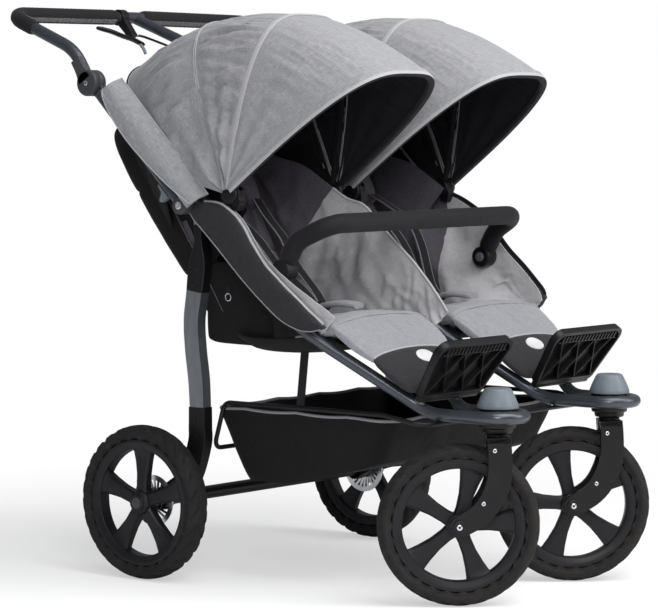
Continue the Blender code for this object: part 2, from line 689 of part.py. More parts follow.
def rear_edge_angle(turn, reach):
    """The back edge is square to the bow on top and follows the push tube down the sides."""
    top = CANOPY_STATIONS[3][0]
    tube_gap = 0.0856
    tube_angle = min(166.0, 135.0 + math.degrees(math.asin(min(tube_gap / reach, 0.9))))
    return top + (tube_angle - top) * abs(math.cos(turn))


def canopy_panel(s, first, edge_gaps, columns=18, rows=3):
    """Thin cloth between two stations, stretched nearly straight from bow to bow."""
    (a0, r0), (a1, r1) = CANOPY_STATIONS[first], CANOPY_STATIONS[first + 1]
    rings = []
    start = math.asin((PANEL_START_R / r0) ** (1 / ARCH_POWER))
    for k in range(columns + 1):
        turn = start + (math.pi - 2 * start) * k / columns
        skins = []
        for offset in (CANOPY_CLOTH / 2, -CANOPY_CLOTH / 2):
            ends = [arch(CANOPY_HALF_WIDTH + offset, radius + offset, turn) for radius in (r0, r1)]
            far_angle = rear_edge_angle(turn, ends[1][1]) if first == 2 else a1
            near = canopy_point(s, *ends[0], math.radians(a0), edge_gaps[0])
            far = canopy_point(s, *ends[1], math.radians(far_angle), -edge_gaps[1])
            skin = []
            for row in range(rows + 1):
                f = row / rows
                across, reach = (e0 + (e1 - e0) * f for e0, e1 in zip(*ends))
                lift = edge_gaps[0] * (1 - f) - edge_gaps[1] * f
                swept = canopy_point(s, across, reach, math.radians(a0 + (far_angle - a0) * f), lift)
                skin.append(near.lerp(far, f).lerp(swept, CANOPY_BULGE))
            skins.append(skin)
        rings.append(skins[0] + skins[1][::-1])
    return loft(rings)


def canopy(side, s, chassis):
    """Fixed back panel, folding middle and front bows, and the cloth between them."""
    pivot = (s * CANOPY_X, CANOPY_Y, CANOPY_Z)
    hub_r, hub_half = 0.0190, 0.0032
    front_bow = canopy_bow(s, 0, FRONT_BOW_HALF_WIDTH, 0.003)
    for end in (-1, 1):
        centre = (pivot[0] + end * FRONT_BOW_HALF_WIDTH, CANOPY_Y, CANOPY_Z)
        front_bow = join(front_bow, spun_x(((hub_r, -hub_half), (hub_r, hub_half)), 16, centre))
    middle_bow = canopy_bow(s, 1, MIDDLE_BOW_HALF_WIDTH, 0.0105)
    gap = PANEL_EDGE_GAP
    add(f"{side}_canopy_front_bow", front_bow, GREY_CLOTH, chassis, pivot)
    add(f"{side}_canopy_middle_bow", middle_bow, GREY_CLOTH, chassis, pivot)
    add(f"{side}_canopy_front_panel", canopy_panel(s, 0, (gap, 0.0009), rows=4), GREY_CLOTH, chassis, pivot)
    add(f"{side}_canopy_middle_panel", canopy_panel(s, 1, (0.0009, 0.0009)), GREY_CLOTH, chassis, pivot)
    add(f"{side}_canopy_back_panel", canopy_panel(s, 2, (0.0009, 0.0)), GREY_CLOTH, chassis)


def bumper_bar(chassis):
    """Foam bar across both seats, with round end joints and their push buttons."""
    y, z = BUMPER_JOINT
    half = ((BUMPER_X, y, z + 0.006), (BUMPER_X, 0.366, 0.664), (0.2980, BUMPER_BAR_Y, BUMPER_BAR_Z),
            (0.0, BUMPER_BAR_Y, BUMPER_BAR_Z))
    right = rounded_path(half, (0.05, 0.045), 4)
    path = right + [Vector((-p.x, p.y, p.z)) for p in right[-2::-1]]
    body = tube(path, BUMPER_R, 10)
    hinge = (0.0, y, z)
    recess = BUTTON_R + 0.0004
    for _, s in SIDES:
        x0, x1 = sorted((s * 0.3040, s * 0.3365))
        body = join(body, spun_x(((0.0210, x0), (0.0210, x1)), 16, hinge))
        pocket = spun_x(((recess, s * 0.2900), (recess, s * 0.3170)), 12, hinge)
        body = cut(body, pocket)
    add("bumper_bar", body, FOAM, chassis, hinge)
    for side, s in SIDES:
        button = spun_x(((BUTTON_R, s * 0.3005), (BUTTON_R, s * 0.3120)), 12, hinge)
        add(f"{side}_bumper_button", button, GREY_PLASTIC, chassis, (s * 0.3005, y, z))


def footrest(side, s, chassis):
    """Tilted plastic plate with crossed ribs underneath and a barrel along its hinge."""
    along = Vector((0, -math.cos(FOOT_ANGLE), math.sin(FOOT_ANGLE)))
    top = Vector((0, math.sin(FOOT_ANGLE), math.cos(FOOT_ANGLE)))
    hinge = Vector((s * SEAT_X, FOOT_Y, FOOT_Z))
    low_half, high_half, length, depth, floor = 0.0960, 0.1140, 0.1280, 0.0150, 0.0045

    def slab(corners, n0, n1):
        flat = [hinge + Vector((u, 0, 0)) + along * v for u, v in corners]
        return loft([[p + top * n for p in flat] for n in (n0, n1)])

    plate = slab(((-low_half, 0.004), (low_half, 0.004), (high_half, length - 0.012),
                  (high_half - 0.012, length), (-high_half + 0.012, length), (-high_half, length - 0.012)),
                 -depth / 2, depth / 2)
    barrel = spun_x(((0.0075, -0.0880), (0.0075, 0.0880)), 12, hinge)
    body = join(plate, barrel)
    rim, rib = 0.009, 0.0026
    inner = [Vector(p) for p in ((-low_half + rim, 0.014), (low_half - rim, 0.014),
                                 (high_half - rim, length - rim), (-high_half + rim, length - rim))]
    share = (low_half - rim) / (low_half + high_half - 2 * rim)
    middle = inner[0].lerp(inner[2], share)
    for k in range(4):
        corners = [inner[k], inner[(k + 1) % 4], middle]
        sides = [(corners[(i + 1) % 3] - corners[(i + 2) % 3]).length for i in range(3)]
        heart = sum((p * w for p, w in zip(corners, sides)), Vector((0, 0))) / sum(sides)
        edge_a, edge_b = corners[1] - corners[0], corners[2] - corners[0]
        inradius = abs(edge_a.x * edge_b.y - edge_a.y * edge_b.x) / sum(sides)
        pocket = [heart + (p - heart) * (1 - rib / inradius) for p in corners]
        body = cut(body, slab(pocket, -depth, depth / 2 - floor))
    add(f"{side}_footrest", body, BLACK_PLASTIC, chassis, hinge)


def joint_lug(x0, x1, angle, reach):
    """Flat lug from the tilt joint's disc to a tube."""
    ray = direction(angle)
    across = Vector((0, -ray.z, ray.y)) * 0.0110
    base = Vector((0, TILT_Y, TILT_Z))
    corners = (base + ray * 0.010 - across, base + ray * reach - across, base + ray * reach + across,
               base + ray * 0.010 + across)
    return prism([(p.y, p.z) for p in corners], *sorted((x0, x1)))


def push_tubes(chassis):
    """Three tubes from the fold joint up to the tilt joint."""
    fold = Vector((0, FOLD_Y, FOLD_Z))
    rise = Vector((0, TILT_Y, TILT_Z)) - fold
    angle = math.degrees(math.atan2(rise.z, rise.y))
    runs = (("right_push_tube", -PUSH_X, (-0.3540, -0.3696)), ("centre_push_tube", 0.0, (-0.0140, -0.0003)),
            ("left_push_tube", PUSH_X, (0.3540, 0.3696)))
    for name, x, (x0, x1) in runs:
        start = Vector((x, FOLD_Y, FOLD_Z))
        end = start + rise * (1 - 0.0285 / rise.length)
        low, high = sorted((x0, x1))
        shaft = tube([start, end], PUSH_R, 10)
        eye = spun_x(((0.0175, x - PUSH_R), (0.0175, x + PUSH_R)), 16, fold)
        disc = spun_x(((JOINT_DISC_R, low), (JOINT_DISC_R, high)), 18, (0, TILT_Y, TILT_Z))
        body = join(shaft, eye, joint_lug(x0, x1, angle + 180, 0.050), disc)
        add(name, body, TUBE_PAINT, chassis, (x, FOLD_Y, FOLD_Z))


def canopy_flap(side, s, chassis):
    """Cloth band outside a push tube, folded in over the top of it."""
    fold = Vector((s * PUSH_X, FOLD_Y, FOLD_Z))
    rise = Vector((0, TILT_Y - FOLD_Y, TILT_Z - FOLD_Z)).normalized()
    across = Vector((0, -rise.z, rise.y))
    outer = ((0.0190, -0.018), (0.0200, -0.004), (0.0195, 0.010), (0.0150, 0.026), (0.0020, 0.038),
             (-0.0110, 0.044))
    inner = ((0.0150, -0.018), (0.0160, -0.004), (0.0155, 0.010), (0.0110, 0.024), (0.0010, 0.0345),
             (-0.0110, 0.0405))
    start, length, steps = 0.030, 0.262, 5
    rings = []
    for k in range(steps + 1):
        f = k / steps
        centre = fold + rise * (start + length * f)
        stretch = 0.90 + 0.20 * f
        marks = outer + inner[::-1]
        rings.append([centre + Vector((s * x, 0, 0)) + across * (b * stretch) for x, b in marks])
    add(f"{side}_canopy_flap", loft(rings), GREY_CLOTH, chassis, fold)


def fold_release(side, s, chassis):
    """Finger catch that slides up the push tube."""
    fold = Vector((0, FOLD_Y, FOLD_Z))
    rise = Vector((0, TILT_Y - FOLD_Y, TILT_Z - FOLD_Z)).normalized()
    under = Vector((0, rise.z, -rise.y))
    marks = ((0.034, 0.0128), (0.066, 0.0128), (0.066, 0.0175), (0.052, 0.0190), (0.044, 0.0330),
             (0.036, 0.0310), (0.034, 0.0190))
    outline = [fold + rise * a + under * b for a, b in marks]
    x0, x1 = sorted((s * (PUSH_X - 0.006), s * (PUSH_X + 0.006)))
    add(f"{side}_fold_release", prism([(p.y, p.z) for p in outline], x0, x1), GREY_PLASTIC, chassis,
        (s * PUSH_X, outline[0].y, outline[0].z))


def handle_path():
    """Main tube of the handlebar: right arm, cross bar, left arm."""
    start = Vector((0, TILT_Y, TILT_Z)) + direction(57) * 0.0285
    half = ((-ARM_X, start.y, start.z), (-ARM_X, *ARM_KNEE), (-ARM_X, BAR_Y, BAR_Z),
            (0.0, BAR_Y, BAR_Z + 0.002))
    right = rounded_path(half, (0.10, 0.045), 4)
    return right + [Vector((-p.x, p.y, p.z)) for p in right[-2::-1]]


def handlebar(chassis):
    """Bent tube with a centre stay, on three tilt joints; foam grips go round it."""
    path = handle_path()
    body = tube(path, PUSH_R, 10)
    start = Vector((0, TILT_Y, TILT_Z)) + direction(57) * 0.0285
    stay = rounded_path(((0.0, start.y, start.z), (0.0, 0.888, 1.034), (0.0, BAR_Y, BAR_Z)), (0.10,), 3)
    body = join(body, tube(stay, 0.0110, 10))
    for x0, x1 in ((-0.3860, -0.3702), (0.0003, 0.0140), (0.3702, 0.3860)):
        disc = spun_x(((JOINT_DISC_R, x0), (JOINT_DISC_R, x1)), 18, (0, TILT_Y, TILT_Z))
        body = join(body, joint_lug(x0, x1, 57, 0.055), disc)
    pivot = (0.0, TILT_Y, TILT_Z)
    add("handlebar", body, TUBE_PAINT, chassis, pivot)
    total = path_length(path)
    spans = (("right", 0.163, total / 2 - 0.062), ("left", total / 2 + 0.018, total - 0.163))
    for side, start_at, end_at in spans:
        run = cut_path(path, start_at, end_at)
        foam = sleeve(run, circle(GRIP_R, 10), circle(PUSH_R + 0.0011, 10))
        add(f"{side}_grip", foam, FOAM, chassis, pivot)


def hand_brake(chassis):
    """Clamp on the cross bar, its lever and the cable to the centre stay."""
    bar = Vector((0.0, BAR_Y, BAR_Z + 0.0015))
    pivot = Vector((-0.0350, 1.0220, 1.0560))
    clamp_run = [bar + Vector((x, 0, 0)) for x in (-0.0560, -0.0460, -0.0360)]
    ring = sleeve(clamp_run, circle(0.0168, 12), circle(PUSH_R + 0.0010, 12))
    reach = (pivot - bar)
    reach.x = 0.0
    ray = reach.normalized()
    across = Vector((0, -ray.z, ray.y))
    near, far, half = 0.0142, reach.length - 0.003, 0.008
    corners = ((near, -half), (far, -half), (far, half), (near, half))
    arm_outline = [bar + ray * a + across * b for a, b in corners]
    arm = prism([(p.y, p.z) for p in arm_outline], -0.0540, -0.0380)
    add("brake_clamp", join(ring, arm), BLACK_PLASTIC, chassis, (0.0, TILT_Y, TILT_Z))
    route = [Vector(p) for p in ((-0.0280, 1.0130, 1.0430), (-0.0600, 1.0150, 1.0540),
                                 (-0.0900, 1.0140, 1.0600), (-0.1200, 1.0190, 1.0690),
                                 (-0.1500, 1.0290, 1.0760))]

    def section(f):
        size = 0.0040 if 0 < f < 1 else 0.0026
        return [(1.15 * a, 1.9 * b) for a, b in circle(size, 10)]

    add("brake_lever", loft(path_rings(route, section)), BLACK_PLASTIC, chassis, pivot)
    cable = [Vector(p) for p in ((-0.0360, 1.0280, 1.0630), (-0.0270, 1.0180, 1.0610),
                                 (-0.0180, 0.9990, 1.0540), (-0.0090, 0.9730, 1.0440),
                                 (-0.0030, 0.9460, 1.0340), (0.0, 0.9200, 1.0260), (0.0, 0.9000, 1.0180))]
    add("brake_cable", tube(cable, 0.0025, 8), BLACK_PLASTIC, chassis, (0.0, TILT_Y, TILT_Z))


def build():
    for item in list(bpy.data.objects):
        bpy.data.objects.remove(item)
    chassis = empty("stroller", (0.0, CHASSIS_SHIFT_Y, 0.0))
    casters = {}
    for side, s in SIDES:
        casters[side] = empty(f"{side}_caster", (s * SEAT_X, 0.0, 0.0), CASTER_TURN, chassis)
    for side, s in SIDES:
        seat_tube(side, s, chassis)
        outer_side_panel(side, s, chassis)
        inner_side_panel(side, s, chassis)
        swivel_housing(side, s, chassis)
        fork(side, s, casters[side])
        seat_pad(side, s, chassis)
        backrest(side, s, chassis)
        side_bag(side, s, chassis)
        canopy(side, s, chassis)
        footrest(side, s, chassis)
        canopy_flap(side, s, chassis)
        fold_release(side, s, chassis)
    wheels(chassis, casters)
    rear_frame(chassis)
    basket_frame(chassis)
    basket(chassis)
    bumper_bar(chassis)
    push_tubes(chassis)
    handlebar(chassis)
    hand_brake(chassis)


build()
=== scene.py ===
"""Visual layer of a side-by-side twin stroller, on the frame that the CAD parts give.

Lengths are metres. Points are written in the chassis frame, which has Y = 0 on the front swivel axes;
piece() shifts them into the row frame. The stroller faces -Y and its right side is -X.
"""
import math

import bmesh
import bpy
import numpy as np
from mathutils import Matrix, Vector, noise


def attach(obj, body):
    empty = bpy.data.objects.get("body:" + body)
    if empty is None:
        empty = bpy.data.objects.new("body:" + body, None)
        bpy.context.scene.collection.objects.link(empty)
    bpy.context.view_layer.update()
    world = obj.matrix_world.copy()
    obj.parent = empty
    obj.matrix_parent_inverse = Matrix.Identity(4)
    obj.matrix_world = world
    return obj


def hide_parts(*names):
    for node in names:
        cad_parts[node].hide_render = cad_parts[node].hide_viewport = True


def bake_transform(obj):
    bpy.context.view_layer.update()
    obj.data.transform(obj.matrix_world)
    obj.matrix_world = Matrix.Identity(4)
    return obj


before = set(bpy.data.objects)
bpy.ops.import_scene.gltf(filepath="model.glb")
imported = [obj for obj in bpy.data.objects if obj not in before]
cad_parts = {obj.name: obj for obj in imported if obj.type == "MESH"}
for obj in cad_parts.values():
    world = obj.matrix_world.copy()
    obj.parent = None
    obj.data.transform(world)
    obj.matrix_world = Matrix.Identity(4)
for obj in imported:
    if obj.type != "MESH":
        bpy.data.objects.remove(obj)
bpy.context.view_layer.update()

SHIFT = Vector((0.0, -0.50423, 0.0))
SIDES = (("right", -1), ("left", 1))
SEAT_X = 0.186
OUTER_X = 0.340
INNER_X = 0.030
FOLD = Vector((0.0, 0.607, 0.728))
TILT = Vector((0.0, 0.840, 0.961))
HINGE_R = 0.0255
HINGE_GAP = 0.0285
HANDLE_LEAN = 57.0
TUBE_SLOPE = 40.05
WHEEL_R = 0.150
WHEELBASE = 0.715
TRACK = 0.7192
TRAIL = 0.0717
CASTER_TURN = math.radians(39.65)
FRONT_SPIN = math.radians(-14.5)
TUBE_R = 0.0115
PUSH_X = 0.366
PUSH_R = 0.012
CANOPY_X = 0.18725
CANOPY_PIVOT = Vector((0.0, 0.508, 0.750))
CANOPY_HALF = 0.1635
# Angle in degrees from straight ahead and radius, for the three bows and the back edge
CANOPY_STATIONS = ((37.0, 0.380), (80.0, 0.344), (112.0, 0.354), (142.0, 0.405))
ARCH_POWER = 0.62
SOFT_EDGE = 70.0


# Small helpers

def sideways(x):
    return Vector((x, 0, 0))


def side_view(points):
    return [(p.y, p.z) for p in points]


def direction(degrees):
    """Unit vector in side view: 0 points back, 90 up, 180 forward."""
    return Vector((0, math.cos(math.radians(degrees)), math.sin(math.radians(degrees))))


def rough(x, y, z):
    """Smooth, repeatable noise at a place."""
    return noise.noise(Vector((x, y, z)))


def between(value, marks, results):
    return float(np.interp(value, marks, results))


def looked_up(value, table, column):
    """One column of a table, read at a value of its first column."""
    return between(value, [row[0] for row in table], [row[column] for row in table])


def shares(steps):
    return [k / steps for k in range(steps + 1)]


def mirrored(half):
    """A path that ends on the middle plane, carried on to the other side."""
    return half + [Vector((-p.x, p.y, p.z)) for p in half[-2::-1]]


def heading(path, k):
    return (path[min(k + 1, len(path) - 1)] - path[max(k - 1, 0)]).normalized()


def lengths(path):
    marks = [0.0]
    for a, b in zip(path, path[1:]):
        marks.append(marks[-1] + (b - a).length)
    return marks


def at(path, distance):
    """Point at a distance along a polyline."""
    marks = lengths(path)
    for k in range(len(path) - 1):
        if distance <= marks[k + 1]:
            return path[k].lerp(path[k + 1], (distance - marks[k]) / max(marks[k + 1] - marks[k], 1e-9))
    return path[-1].copy()


def stretch(path, start, end, steps):
    return [at(path, start + (end - start) * k / steps) for k in range(steps + 1)]


def spans(grid):
    """Longest line of a grid, and the longer of its two end columns."""
    columns = ([line[k] for line in grid] for k in (0, -1))
    return max(lengths(line)[-1] for line in grid), max(lengths(column)[-1] for column in columns)


# Shapes: each is (points, faces, face corner UVs in metres)

def ring_points(radius, steps, squash=1.0):
    turns = [2 * math.pi * k / steps for k in range(steps)]
    return [(radius * math.cos(t), radius * squash * math.sin(t)) for t in turns]


def skin(rings, around=True, along=False, caps=True):
    """Quads between equal rows of points, with UVs measured along the middle row and column."""
    count, rows = len(rings[0]), len(rings)
    points = [Vector(p) for ring in rings for p in ring]
    middle = rings[rows // 2]
    across, up = [0.0], [0.0]
    for k in range(count):
        across.append(across[-1] + (Vector(middle[(k + 1) % count]) - Vector(middle[k])).length)
    column = [ring[count // 2] for ring in rings]
    for r in range(rows):
        up.append(up[-1] + (Vector(column[(r + 1) % rows]) - Vector(column[r])).length)
    faces, uvs = [], []
    for r in range(rows if along else rows - 1):
        q = (r + 1) % rows
        for k in range(count if around else count - 1):
            n = (k + 1) % count
            faces.append((r * count + k, r * count + n, q * count + n, q * count + k))
            uvs.append(((across[k], up[r]), (across[k + 1], up[r]),
                        (across[k + 1], up[r + 1]), (across[k], up[r + 1])))
    if caps and around and not along:
        for start in (0, (rows - 1) * count):
            faces.append(tuple(range(start, start + count)))
            uvs.append(tuple((points[i].x, points[i].z) for i in faces[-1]))
    return points, faces, uvs


def merge(*shapes):
    points, faces, uvs = [], [], []
    for shape in shapes:
        base = len(points)
        points += [Vector(p) for p in shape[0]]
        faces += [tuple(i + base for i in face) for face in shape[1]]
        uvs += list(shape[2])
    return points, faces, uvs


def moved(shape, matrix):
    return [matrix @ Vector(p) for p in shape[0]], shape[1], shape[2]


def shell(outer, inner):
    """Closed cloth from two grids: outer faces first, then the rim, then the inner faces."""
    top = skin(outer, around=False, caps=False)
    under = skin(inner, around=False, caps=False)
    base = len(top[0])
    count, rows = len(outer[0]), len(outer)
    border = list(range(count)) + [r * count + count - 1 for r in range(1, rows)]
    border += [(rows - 1) * count + k for k in range(count - 2, -1, -1)]
    border += [r * count for r in range(rows - 2, 0, -1)]
    faces, uvs = list(top[1]), list(top[2])
    for a, b in zip(border, border[1:] + border[:1]):
        faces.append((a, b, b + base, a + base))
        uvs.append(((0, 0), (0.01, 0), (0.01, 0.01), (0, 0.01)))
    first_inner = len(faces)
    faces += [tuple(i + base for i in face) for face in under[1]]
    uvs += list(under[2])
    return (list(top[0]) + list(under[0]), faces, uvs), first_inner


def prism(outline, x0, x1):
    """Extrude a (Y, Z) outline along X."""
    return skin([[Vector((x, y, z)) for y, z in outline] for x in (x0, x1)])


def spun(profile, steps, centre=(0, 0, 0), axis="X", closed=False):
    """Turn (radius, distance along the axis) points about an axis through a centre."""
    rings = []
    for radius, reach in profile:
        ring = ring_points(radius, steps)
        offsets = [Vector((reach, a, b)) if axis == "X" else Vector((a, b, reach)) for a, b in ring]
        rings.append([Vector(centre) + offset for offset in offsets])
    return skin(rings, along=closed)


def drum(x0, x1, radius, centre, round_r=0.0015, steps=32):
    """Short round boss along X with rounded rims."""
    low, high = sorted((x0, x1))
    rim = ((radius * 0.02, 0.0), (radius - round_r, 0.0), (radius - round_r * 0.3, round_r * 0.3),
           (radius, round_r))
    profile = [(r, low + d) for r, d in rim] + [(r, high - d) for r, d in rim[::-1]]
    return spun(profile, steps, (0.0, *centre))


def screw(x0, x1, radius, centre):
    """Domed screw head with a recessed socket, facing the second X."""
    way = 1 if x1 > x0 else -1
    profile = [(radius * 0.05, x0), (radius, x0), (radius, x1 - way * 0.0006), (radius * 0.8, x1),
               (radius * 0.45, x1), (radius * 0.42, x1 - way * 0.0016), (radius * 0.02, x1 - way * 0.0016)]
    return spun(profile, 20, (0.0, *centre))


def rounded_path(corners, radii, arc_steps=12):
    """A polyline with its inner corners replaced by arcs."""
    points = [Vector(corners[0])]
    for k in range(1, len(corners) - 1):
        here, radius = Vector(corners[k]), radii[k - 1]
        back = (Vector(corners[k - 1]) - here).normalized()
        ahead = (Vector(corners[k + 1]) - here).normalized()
        half = back.angle(ahead) / 2
        reach = radius / math.tan(half)
        centre = here + (back + ahead).normalized() * (radius / math.sin(half))
        start = here + back * reach - centre
        end = here + ahead * reach - centre
        points += [centre + start.slerp(end, f) * radius for f in shares(arc_steps)]
    points.append(Vector(corners[-1]))
    return points


def curve(points, steps):
    """Catmull-Rom line through points of any dimension."""
    held = [points[0]] + list(points) + [points[-1]]
    line = []
    for p0, p1, p2, p3 in zip(held, held[1:], held[2:], held[3:]):
        for k in range(steps):
            t = k / steps
            line.append(tuple(0.5 * (2 * b + (c - a) * t + (2 * a - 5 * b + 4 * c - d) * t * t
                                     + (3 * b - a - 3 * c + d) * t ** 3)
                              for a, b, c, d in zip(p0, p1, p2, p3)))
    line.append(tuple(points[-1]))
    return line


def smooth(points, steps=8):
    return [Vector(p) for p in curve(points, steps)]


def stroke(points, half_widths, steps=10):
    """Outline of a band along a smooth (Y, Z) line."""
    line = curve(points, steps)
    widths = curve([(w,) for w in half_widths], steps)
    left, right = [], []
    for k, (y, z) in enumerate(line):
        before, after = line[max(k - 1, 0)], line[min(k + 1, len(line) - 1)]
        ahead = Vector((after[0] - before[0], after[1] - before[1])).normalized()
        width = widths[k][0]
        left.append((y - ahead.y * width, z + ahead.x * width))
        right.append((y + ahead.y * width, z - ahead.x * width))
    return left + right[::-1]


def path_frames(path, closed=False):
    """Two cross directions at each point, carried along without twist."""
    count = len(path)
    frames = []
    side = None
    for k in range(count):
        before = path[k - 1] if k or closed else path[k]
        after = path[(k + 1) % count] if k < count - 1 or closed else path[k]
        tangent = (after - before).normalized()
        if side is None:
            side = Vector((1, 0, 0)) if abs(tangent.x) < 0.8 else Vector((0, 0, 1))
        side = (side - tangent * side.dot(tangent)).normalized()
        frames.append((side.copy(), tangent.cross(side)))
    return frames


def swept(path, sections, closed=False):
    """Rings along a path, from one section of (side, other) offsets for each point."""
    return [[centre + side * a + other * b for a, b in section]
            for centre, (side, other), section in zip(path, path_frames(path, closed), sections)]


def tube(path, radius, sides=20, closed=False, dome=0.0):
    """Round tube; dome rounds both ends over that length."""
    if not dome:
        return skin(swept(path, [ring_points(radius, sides)] * len(path), closed), along=closed)
    ends = [(radius * r, d) for r, d in ((0.35, 0.0), (0.75, 0.25), (0.95, 0.6), (1.0, 1.0))]
    first, last = path[0], path[-1]
    ahead = (path[1] - first).normalized()
    back = (path[-2] - last).normalized()
    head = [(first + ahead * dome * d, r) for r, d in ends]
    tail = [(last + back * dome * d, r) for r, d in ends[::-1]]
    route = head + [(p, radius) for p in path[1:-1]] + tail
    return skin(swept([p for p, _ in route], [ring_points(r, sides) for _, r in route]))


def strap_ways(path, normals):
    """Side and face directions of a flat strap at each point of its path."""
    ways = []
    for k, normal in enumerate(normals):
        ahead = heading(path, k)
        side = ahead.cross(normal).normalized()
        ways.append((side, side.cross(ahead).normalized()))
    return ways


def ribbon(path, normals, width, thickness):
    """Flat webbing along a path; normals give its face side at each point."""
    h, t = width / 2, thickness / 2
    section = ((-h, -t), (0.0, -t), (h, -t), (h, t), (0.0, t * 1.4), (-h, t))
    return skin([[centre + side * a + out * b for a, b in section]
                 for centre, (side, out) in zip(path, strap_ways(path, normals))])


# Pieces

def paint(item, look, chosen):
    """Give one more material to the faces that a test chooses."""
    item.data.materials.append(look)
    for polygon in item.data.polygons:
        if chosen(polygon):
            polygon.material_index = len(item.data.materials) - 1


def piece(name, shape, look, body, stands_for=(), sharp=40.0, bevel=0.0, levels=0, inner=None):
    """Make a named object from a shape, with its material, its CAD body and the nodes that it stands for.

    inner is a second material and the first face that has it.
    """
    points, faces, uvs = shape
    mesh = bpy.data.meshes.new(name)
    mesh.from_pydata([p + SHIFT for p in points], [], faces)
    layer = mesh.uv_layers.new(name="metres")
    for corner, uv in enumerate(uv for face_uv in uvs for uv in face_uv):
        layer.data[corner].uv = uv
    bm = bmesh.new()
    bm.from_mesh(mesh)
    bmesh.ops.recalc_face_normals(bm, faces=bm.faces)
    bm.to_mesh(mesh)
    bm.free()
    mesh.shade_smooth()
    mesh.set_sharp_from_angle(angle=math.radians(sharp))
    mesh.materials.append(look)
    item = bpy.data.objects.new(name, mesh)
    bpy.context.scene.collection.objects.link(item)
    if inner:
        paint(item, inner[0], lambda polygon: polygon.index >= inner[1])
    if bevel:
        modifier = item.modifiers.new("bevel", "BEVEL")
        modifier.width = bevel
        modifier.segments = 2
        modifier.limit_method = "ANGLE"
        modifier.angle_limit = math.radians(35)
    if levels:
        modifier = item.modifiers.new("smooth", "SUBSURF")
        modifier.levels = modifier.render_levels = levels
    if body:
        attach(item, body)
    if stands_for:
        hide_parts(*stands_for)
    return item


def seam_across(item, point, normal):
    """Cut the faces of a piece along a plane, so that a change of cloth has a straight edge."""
    cut = bmesh.new()
    cut.from_mesh(item.data)
    geometry = list(cut.verts) + list(cut.edges) + list(cut.faces)
    bmesh.ops.bisect_plane(cut, geom=geometry, plane_co=point, plane_no=normal)
    cut.to_mesh(item.data)
    cut.free()


# Materials

def fill(target, **inputs):
    """Set input sockets by name, with underscores for blanks."""
    for key, value in inputs.items():
        target.inputs[key.replace("_", " ")].default_value = value


def node(tree, kind, settings=None, **inputs):
    made = tree.nodes.new(kind)
    for key, value in (settings or {}).items():
        setattr(made, key, value)
    fill(made, **inputs)
    return made


def link(tree, *pairs):
    for source, target in pairs:
        tree.links.new(source, target)


def coordinates(tree, source="Object", scale=(1.0, 1.0, 1.0)):
    """Texture coordinates of one kind, scaled to repeats per metre."""
    mapping = node(tree, "ShaderNodeMapping", Scale=scale)
    link(tree, (node(tree, "ShaderNodeTexCoord").outputs[source], mapping.inputs["Vector"]))
    return mapping.outputs["Vector"]


def speckle(tree, vector, scale=1.0, detail=2.0):
    texture = node(tree, "ShaderNodeTexNoise", Scale=scale, Detail=detail)
    link(tree, (vector, texture.inputs["Vector"]))
    return texture.outputs["Fac"]


def ramp(tree, factor, low, high, target):
    """Colours from low to high over the middle of a factor's range, led to a socket."""
    made = node(tree, "ShaderNodeValToRGB")
    for stop, place, colour in zip(made.color_ramp.elements, (0.35, 0.65), (low, high)):
        stop.position = place
        stop.color = (*colour, 1.0)
    link(tree, (factor, made.inputs["Fac"]), (made.outputs["Color"], target))


def tint(tree, shader, factor, colour, low, high):
    """Vary the base colour between two shares of it."""
    tones = [tuple(c * share for c in colour) for share in (low, high)]
    ramp(tree, factor, *tones, shader.inputs["Base Color"])


def uneven_gloss(tree, shader, factor, low, high):
    ramp(tree, factor, (low,) * 3, (high,) * 3, shader.inputs["Roughness"])


def average(tree, first, second):
    total = node(tree, "ShaderNodeMath", {"operation": "ADD"})
    half = node(tree, "ShaderNodeMath", {"operation": "MULTIPLY"})
    half.inputs[1].default_value = 0.5
    link(tree, (first, total.inputs[0]), (second, total.inputs[1]), (total.outputs[0], half.inputs[0]))
    return half.outputs[0]


def bump(tree, shader, height, distance, strength, before=None):
    made = node(tree, "ShaderNodeBump", Strength=strength, Distance=distance)
    link(tree, (height, made.inputs["Height"]), (made.outputs["Normal"], shader.inputs["Normal"]))
    if before:
        link(tree, (before, made.inputs["Normal"]))
    return made.outputs["Normal"]


def start_look(name, roughness, metallic=0.0):
    look = bpy.data.materials.new(name)
    look.use_nodes = True
    shader = look.node_tree.nodes["Principled BSDF"]
    fill(shader, Roughness=roughness, Metallic=metallic)
    return look, look.node_tree, shader


def fabric(name, colour, spread=0.16, source="UV", thread=800.0, streak=55.0, crumple=0.25, sheen=0.2,
           roughness=0.9):
    """Woven cloth: crossed slub threads in the colour, thread relief and soft creases."""
    look, tree, shader = start_look(name, roughness)
    if source == "UV":
        scales = ((thread, streak, 1.0), (streak, thread, 1.0))
    else:
        scales = ((thread, streak, streak), (streak, streak, thread))
    slub = average(tree, *(speckle(tree, coordinates(tree, source, scale)) for scale in scales))
    tint(tree, shader, slub, colour, 1 - spread, 1 + spread)
    fill(shader, Sheen_Weight=sheen, Specular_IOR_Level=0.18, Sheen_Roughness=0.5)
    fine = bump(tree, shader, slub, 0.0006, 0.35)
    bump(tree, shader, speckle(tree, coordinates(tree), 28.0, 3.0), 0.006, crumple, fine)
    return look


def plastic(name, colour, roughness):
    """Moulded plastic with a fine spark texture and uneven gloss."""
    look, tree, shader = start_look(name, roughness)
    place = coordinates(tree)
    cloud = speckle(tree, place, 22.0, 3.0)
    tint(tree, shader, cloud, colour, 0.88, 1.14)
    uneven_gloss(tree, shader, cloud, roughness - 0.06, roughness + 0.08)
    fill(shader, Specular_IOR_Level=0.24)
    bump(tree, shader, speckle(tree, place, 900.0, 1.0), 0.0003, 0.12)
    return look


